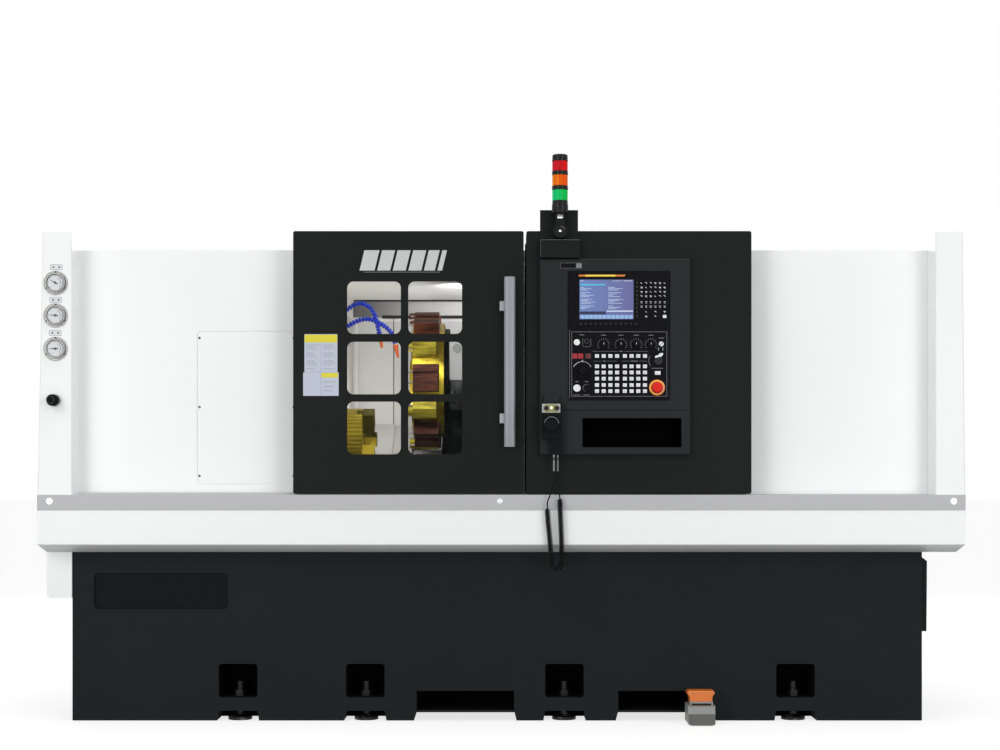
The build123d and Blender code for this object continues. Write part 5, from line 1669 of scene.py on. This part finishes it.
class LATHE_OT_tower(LatheOperator):
    """Ribbed lenses, collars and joint of the signal tower"""

    bl_idname = "lathe.tower"
    bl_label = "Signal tower"

    def build(self, scene):
        x, y = TOWER
        rib_points = 144
        joint = (x, JOINT_FACE, JOINT_Z)
        joint_ring = [(0, 12), (3, 12), (4, 10), (4, 6), (1, 5.5), (1, 0)]
        bolt = [(0, 5), (0.8, 5), (1.4, 4), (1.4, 0)]
        bolt_place = (x, JOINT_FACE - 1, JOINT_Z)
        base_ring = [(0, 28), (0, 31), (3, 31.8), (30, 31.6), (34, 30.4), (34, 28)]
        base_z = 1964
        collar_spans = ((2051.5, 2066.5), (2108.5, 2123.2), (2161.6, 2166))
        glint = [(circle(x, JOINT_Z, 17.5, 16, radians(25), radians(60)), 1.2)]
        bracket_face = -850
        screws = ((163, 1872), (281, 1872), (163, 1968), (281, 1968))
        box_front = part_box("tower_bracket")[0].y / MM
        # painted highlights: thin lighter lines along the lamp box's top and left edges
        edges = [([(151, 1859.6), (298, 1859.6)], 1.4), ([(150.6, 1796), (150.6, 1859)], 1.2)]

        def ribbed(bm, low, high):
            rings = []
            for crest, trough, z in ((29.4, 28.6, low), (29.4, 28.6, high), (21, 21, high), (21, 21, low)):
                ring = []
                for i in range(rib_points):
                    radius = crest if i % 2 else trough
                    angle = tau * i / rib_points
                    ring.append(bm.verts.new((x + radius * cos(angle), y + radius * sin(angle), z)))
                rings.append(ring)
            skin(bm, rings, True)

        for colour in ("green", "orange", "red"):
            low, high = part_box(f"{colour}_lens")

            def sleeve(bm, low=low, high=high):
                ribbed(bm, low.z / MM + 0.3, high.z / MM - 0.3)

            name = f"{colour}_lens_sleeve"
            piece(name, "tower", f"lens {colour}", sleeve, 20, (f"{colour}_lens",))

        def collars(bm):
            for low_z, high_z in collar_spans:
                tall = high_z - low_z
                profile = [(0, 28), (0, 30.6), (1.5, 31), (tall - 1.5, 31), (tall, 30.6), (tall, 28)]
                turn(bm, profile, (x, y, low_z), (0, 0, 1), 48, True)

        def bracket_screws(bm):
            for screw_x, screw_z in screws:
                dome_screw(bm, screw_x, bracket_face, screw_z, 4.5)

        glint_line = lines_of(glint, JOINT_FACE, JOINT_FACE - 0.4)
        box_edge_highlights = lines_of(edges, box_front, box_front - 0.3)
        ring = turned_at([joint], joint_ring)
        bolt_end = turned_at([bolt_place], bolt, steps=20)
        around_base = turned_at([(x, y, base_z)], base_ring, (0, 0, 1), 48, True)
        piece("tower_collars", "tower", "tower dark", collars)
        piece("tower_joint_glint", "tower", "ink grey", glint_line)
        piece("lamp_box_edges", "machine", "ink dim", box_edge_highlights)
        piece("tower_joint_ring", "tower", "tower dark", ring)
        piece("tower_joint_bolt", "tower", "bright zinc", bolt_end)
        piece("tower_base_ring", "tower", "tower dark", around_base)
        piece("bracket_screws", "machine", "tower dark", bracket_screws)


class LATHE_OT_foot_switch(LatheOperator):
    """Brown bar, lower shell, screw and pedal plate of the foot switch, with painted highlights along the
    pedal's edges
    """

    bl_idname = "lathe.foot_switch"
    bl_label = "Foot switch"

    def build(self, scene):
        low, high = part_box("foot_switch")
        front = low.y / MM
        left, right = low.x / MM, high.x / MM
        middle = (left + right) / 2
        pedal_low, pedal_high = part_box("foot_pedal")
        pedal_front = pedal_low.y / MM + 12
        pedal_back = pedal_high.y / MM - 4
        toe_half = ((-54, 121.5), (-48, 131), (48, 131), (54, 121.5))
        heel_half = ((45, 110), (43, 82), (-43, 82), (-45, 110))
        pedal_outline = [(middle + across, z) for across, z in toe_half + heel_half]
        toe = ((-50, 124), (-46, 128.4), (46, 128.4), (50, 124))
        shell = [
            (left + 2, 4),
            (right - 2, 4),
            (right - 2, 34),
            (right - 12, 44),
            (left + 12, 44),
            (left + 2, 34),
        ]
        bar = [((left + 4, front + 13, 66), (right - 4, front + 16, 77))]

        def pedal(bm):
            plate(bm, pedal_outline, pedal_back, pedal_front, 3)

        # painted highlight: lighter orange strips along the pedal's top and lower edges
        def pedal_edge_highlight(bm):
            ribbon(bm, [(middle + across, z) for across, z in toe], 3, pedal_front, pedal_front - 1)
            ribbon(bm, level_line(middle - 40, middle + 40, 86), 2, pedal_front, pedal_front - 0.6)

        def screw(bm):
            dome_screw(bm, middle, front + 10.2, 30, 4)

        piece("foot_bar", "machine", "switch brown", blocks_of(bar, 0.8))
        piece("foot_pedal_plate", "pedal", "pedal orange", pedal, 35, ("foot_pedal",))
        piece("foot_pedal_edge", "pedal", "pedal edge highlight", pedal_edge_highlight)
        lower_shell = plates_of([shell], front + 1, front - 0.6)
        piece("foot_shell", "machine", "switch dark", lower_shell)
        piece("foot_screw", "machine", "button white", screw)


class LATHE_OT_hoses(LatheOperator):
    """Beads and nozzles of the jointed coolant hoses"""

    bl_idname = "lathe.hoses"
    bl_label = "Coolant hoses"

    def build(self, scene):
        routes = (
            ((-670, 1614), (-645, 1640), (-583, 1678), (-530, 1644), (-511, 1582), (-503, 1540)),
            ((-670, 1550), (-638, 1576), (-559, 1612), (-491, 1583), (-447, 1545), (-438, 1500)),
        )
        y = -330
        wall_x = -676
        pitch = 13.5
        bead = [(-6.5, 4), (-6.3, 7), (-4, 9.6), (-1, 10.6), (2, 10.2), (4, 8.4)]
        bead += [(5, 6), (6.6, 5.4), (6.6, 0)]
        nozzle = [(2, 5), (3, 11), (9, 11.2), (16, 10), (30, 8), (56, 4.6), (57, 3.4), (52, 2.2), (52, 0)]
        fitting = [(0, 14), (8, 14), (9, 12), (12, 11), (12, 0)]
        ends = []
        beads = []
        for number, route in enumerate(routes):
            guide = route_curve(f"hose_route_{number}", [(px * MM, y * MM, pz * MM) for px, pz in route])
            line = points_along(guide)
            bpy.data.objects.remove(guide)
            gone = 0.0
            due = 6.0
            for a, b in zip(line, line[1:]):
                run = (b - a).length / MM
                while gone + run >= due:
                    beads.append((a.lerp(b, (due - gone) / run) / MM, (b - a).normalized()))
                    due += pitch
                gone += run
            ends.append((line[-1] / MM, (line[-1] - line[-2]).normalized()))

        def links(bm):
            for point, direction in beads:
                turn(bm, bead, point, direction, 20)

        def nozzles(bm):
            for point, direction in ends:
                turn(bm, nozzle, point, direction, 24)

        fittings = turned_at([(wall_x, y, route[0][1]) for route in routes], fitting, (1, 0, 0), 6)
        piece("hose_links", "machine", "hose blue", links, 30, ("coolant_hoses",))
        piece("hose_nozzles", "machine", "nozzle orange", nozzles)
        piece("hose_fittings", "machine", "bright zinc", fittings)


class LATHE_OT_interior(LatheOperator):
    """Seams of the lining, a painted shadow under its raised band, and the seal, boss, cover and tool bits
    about the turret
    """

    bl_idname = "lathe.interior"
    bl_label = "Work zone details"

    def build(self, scene):
        left, right = -674, 676
        wall_front = WALL_FACE + 0.4
        ledge_gaps_and_shade = (
            ((left, 474, 1751.2), (right, 480.2, 1758.4)),
            # painted shadow: a black strip under the raised band, reaching onto its face
            ((-545, 478.8, 1674), (right, WALL_FACE, 1687.5)),
        )
        thin_seams = (
            ((left, 342.5, 1797.2), (right, 345.5, 1799.2)),
            ((-494, 485, 930), (-490.8, wall_front, 1672)),
        )
        seal = [(0, 121), (0, 224), (2, 228), (18, 228), (20, 224), (20, 121)]
        seal_x = -244
        boss = [(0, 19), (4, 19), (5, 17.5), (5, 15), (2.5, 13.5), (2.5, 0)]
        boss_place = (-189.5, HEAD_FACE, 1502)
        stations = 12
        bit = [(-8, 4.4), (9, 4.2), (14, 1.2), (14, 0)]
        bit_x = -384
        bit_radius = 282

        def dark_seams_and_shade(bm):
            blocks_of(ledge_gaps_and_shade, 0.4)(bm)
            blocks_of(thin_seams, 0.2)(bm)

        def light_seams(bm):
            block(bm, (-664.5, 484, 1000), (-660, wall_front, 1700), 0.4)
            block(bm, (-657, 485, 1000), (-655.5, wall_front, 1700), 0.2)

        def lower_cover(bm):
            block(bm, (-221, HEAD_FACE + 2, 1238), (-104, 40, 1365), 4)
            for slot_x in (-216, -188, -160, -132):
                block(bm, (slot_x, HEAD_FACE - 2, 1262), (slot_x + 20, HEAD_FACE + 3, 1318), 2)

        def bits(bm):
            for station in range(stations):
                angle = tau * station / stations
                out = Vector((0, cos(angle), sin(angle)))
                along = Vector((0, -sin(angle), cos(angle)))
                centre = Vector((bit_x, *TURRET)) + out * bit_radius
                for shift in (-26, 20):
                    turn(bm, bit, centre + along * shift, Vector((-1, 0, 0)) + along * 0.25, 8)

        around_axis = turned_at([(seal_x, *TURRET)], seal, (1, 0, 0), 72, True)
        piece("lining_seams_and_shade", "machine", "seam and shade dark", dark_seams_and_shade)
        piece("lining_strips", "machine", "seam light", light_seams)
        piece("turret_seal", "turret", "panel black", around_axis)
        piece("head_boss", "cross_slide", "casting", turned_at([boss_place], boss, steps=40))
        piece("head_lower_cover", "cross_slide", "key black", lower_cover)
        piece("tool_bits", "turret", "bit steel", bits)


class LATHE_OT_stage(LatheOperator):
    """Floor, backdrop, soft lights and the camera"""

    bl_idname = "lathe.stage"
    bl_label = "Stage"

    def build(self, scene):
        settings = scene.lathe_stage
        camera_x = -0.005
        self.floor(scene)
        self.world(scene)
        self.lights(scene)
        data = bpy.data.cameras.new("lathe_camera")
        data.lens = settings.focal
        data.sensor_width = 36
        data.shift_y = settings.frame_shift
        data.clip_end = 60
        camera = bpy.data.objects.new("lathe_camera", data)
        camera.location = (camera_x, DOOR_FACE * MM - settings.distance, settings.eye_height)
        camera.rotation_euler = (pi / 2, 0, 0)
        scene.collection.objects.link(camera)
        scene.camera = camera
        scene.view_settings.view_transform = "Standard"

    def floor(self, scene):
        floor_glow = 0.74
        half_size = 200
        finish = Finish("pale_floor")
        grain = finish.noise(3, 2)
        finish.set(
            Base_Color=finish.blend(grain, (0.34, 0.34, 0.34, 1), (0.36, 0.36, 0.36, 1)),
            Roughness=0.7,
            Specular_IOR_Level=0.1,
        )
        glow = finish.node("ShaderNodeEmission", None, {0: (1, 1, 1, 1), 1: floor_glow}).outputs[0]
        surface = finish.surface.outputs[0]
        lit = finish.node("ShaderNodeAddShader", None, {0: surface, 1: glow}).outputs[0]
        mix = finish.node("ShaderNodeMixShader", None, {0: finish.seen(), 1: surface, 2: lit})
        finish.feed(finish.output.inputs[0], mix.outputs[0])
        bm = bmesh.new()
        bmesh.ops.create_grid(bm, x_segments=1, y_segments=1, size=half_size)
        mesh = bpy.data.meshes.new("floor")
        bm.to_mesh(mesh)
        bm.free()
        made = bpy.data.objects.new("floor", mesh)
        mesh.materials.append(finish.material)
        scene.collection.objects.link(made)

    def world(self, scene):
        lighting, backdrop = 0.42, 1.0
        world = bpy.data.worlds.new("studio")
        scene.world = world
        world.use_nodes = True
        nodes = Shader(world.node_tree)
        skies = [
            nodes.node("ShaderNodeBackground", None, {0: (1, 1, 1, 1), 1: strength}).outputs[0]
            for strength in (lighting, backdrop)
        ]
        mix = nodes.node("ShaderNodeMixShader", None, {0: nodes.seen(), 1: skies[0], 2: skies[1]})
        nodes.node("ShaderNodeOutputWorld", None, {0: mix.outputs[0]})

    def lights(self, scene):
        for name, place, aim, size, power in (
            ("key_left", (-4.5, -6.5, 4.6), (-0.4, 0, 1.1), 3.5, 112),
            ("key_right", (4.2, -6.0, 4.2), (0.4, 0, 1.1), 3.5, 78),
            ("fill_left", (-3.5, -7.6, 0.9), (-0.6, -0.8, 0.9), 2.4, 96),
            ("fill_right", (3.5, -7.6, 0.9), (0.6, -0.8, 0.9), 2.4, 90),
            ("top_soft", (0, -1.0, 6.0), (0, 0, 1), 5.0, 110),
            ("back_soft", (0, 5.5, 3.5), (0, 0.6, 1), 4.0, 90),
        ):
            lamp = self.lamp(scene, name, place, aim, power, "Y")
            lamp.data.shape = "DISK"
            lamp.data.size = size
        for name, place, aim, size, power in (
            ("inner_down", (-0.31, -0.66, 1.775), (-0.31, 0.1, 1.3), (0.5, 0.05), 2.9),
            ("inner_left", (-0.53, 0.0, 1.2), (-0.5, 0.42, 1.75), (0.25, 0.12), 1.5),
            ("inner_right", (-0.2, 0.2, 1.61), (-0.24, 0.47, 1.75), (0.4, 0.1), 0.85),
        ):
            lamp = self.lamp(scene, name, place, aim, power, "X")
            lamp.data.shape = "RECTANGLE"
            lamp.data.size, lamp.data.size_y = size
            lamp.visible_camera = False

    def lamp(self, scene, name, place, aim, power, upward):
        """Area lamp aimed at a point, with one of its own axes turned upward"""
        data = bpy.data.lights.new(name, "AREA")
        data.energy = power
        made = bpy.data.objects.new(name, data)
        made.location = place
        made.rotation_euler = (Vector(aim) - Vector(place)).to_track_quat("-Z", upward).to_euler()
        scene.collection.objects.link(made)
        return made


OPERATORS = (
    LATHE_OT_finishes,
    LATHE_OT_solids,
    LATHE_OT_stage,
    LATHE_OT_cord,
    LATHE_OT_sill_screws,
    LATHE_OT_gauges,
    LATHE_OT_door_marks,
    LATHE_OT_handle,
    LATHE_OT_display,
    LATHE_OT_machine_panel,
    LATHE_OT_housing_trim,
    LATHE_OT_pendant,
    LATHE_OT_tower,
    LATHE_OT_foot_switch,
    LATHE_OT_hoses,
    LATHE_OT_interior,
)

SETTINGS = {
    "lathe_paint": PaintSettings,
    "lathe_fittings": FittingSettings,
    "lathe_cord": CordSettings,
    "lathe_stage": StageSettings,
}


class LATHE_PT_panel(bpy.types.Panel):
    """Lists the lathe's pieces in the sidebar"""

    bl_label = "Turning lathe"
    bl_idname = "LATHE_PT_panel"
    bl_space_type = "VIEW_3D"
    bl_region_type = "UI"
    bl_category = "Lathe"

    def draw(self, context):
        for operator in OPERATORS:
            self.layout.operator(operator.bl_idname)
        for name, group in SETTINGS.items():
            box = self.layout.box()
            for field in group.__annotations__:
                box.prop(getattr(context.scene, name), field)


def register():
    for name, group in SETTINGS.items():
        bpy.utils.register_class(group)
        setattr(bpy.types.Scene, name, PointerProperty(type=group))
    for operator in OPERATORS:
        bpy.utils.register_class(operator)
    bpy.utils.register_class(LATHE_PT_panel)


def unregister():
    bpy.utils.unregister_class(LATHE_PT_panel)
    for operator in reversed(OPERATORS):
        bpy.utils.unregister_class(operator)
    for name, group in SETTINGS.items():
        delattr(bpy.types.Scene, name)
        bpy.utils.unregister_class(group)


def main():
    register()
    for operator in OPERATORS:
        getattr(bpy.ops.lathe, operator.bl_idname.split(".")[1])()


if __name__ == "__main__":
    main()
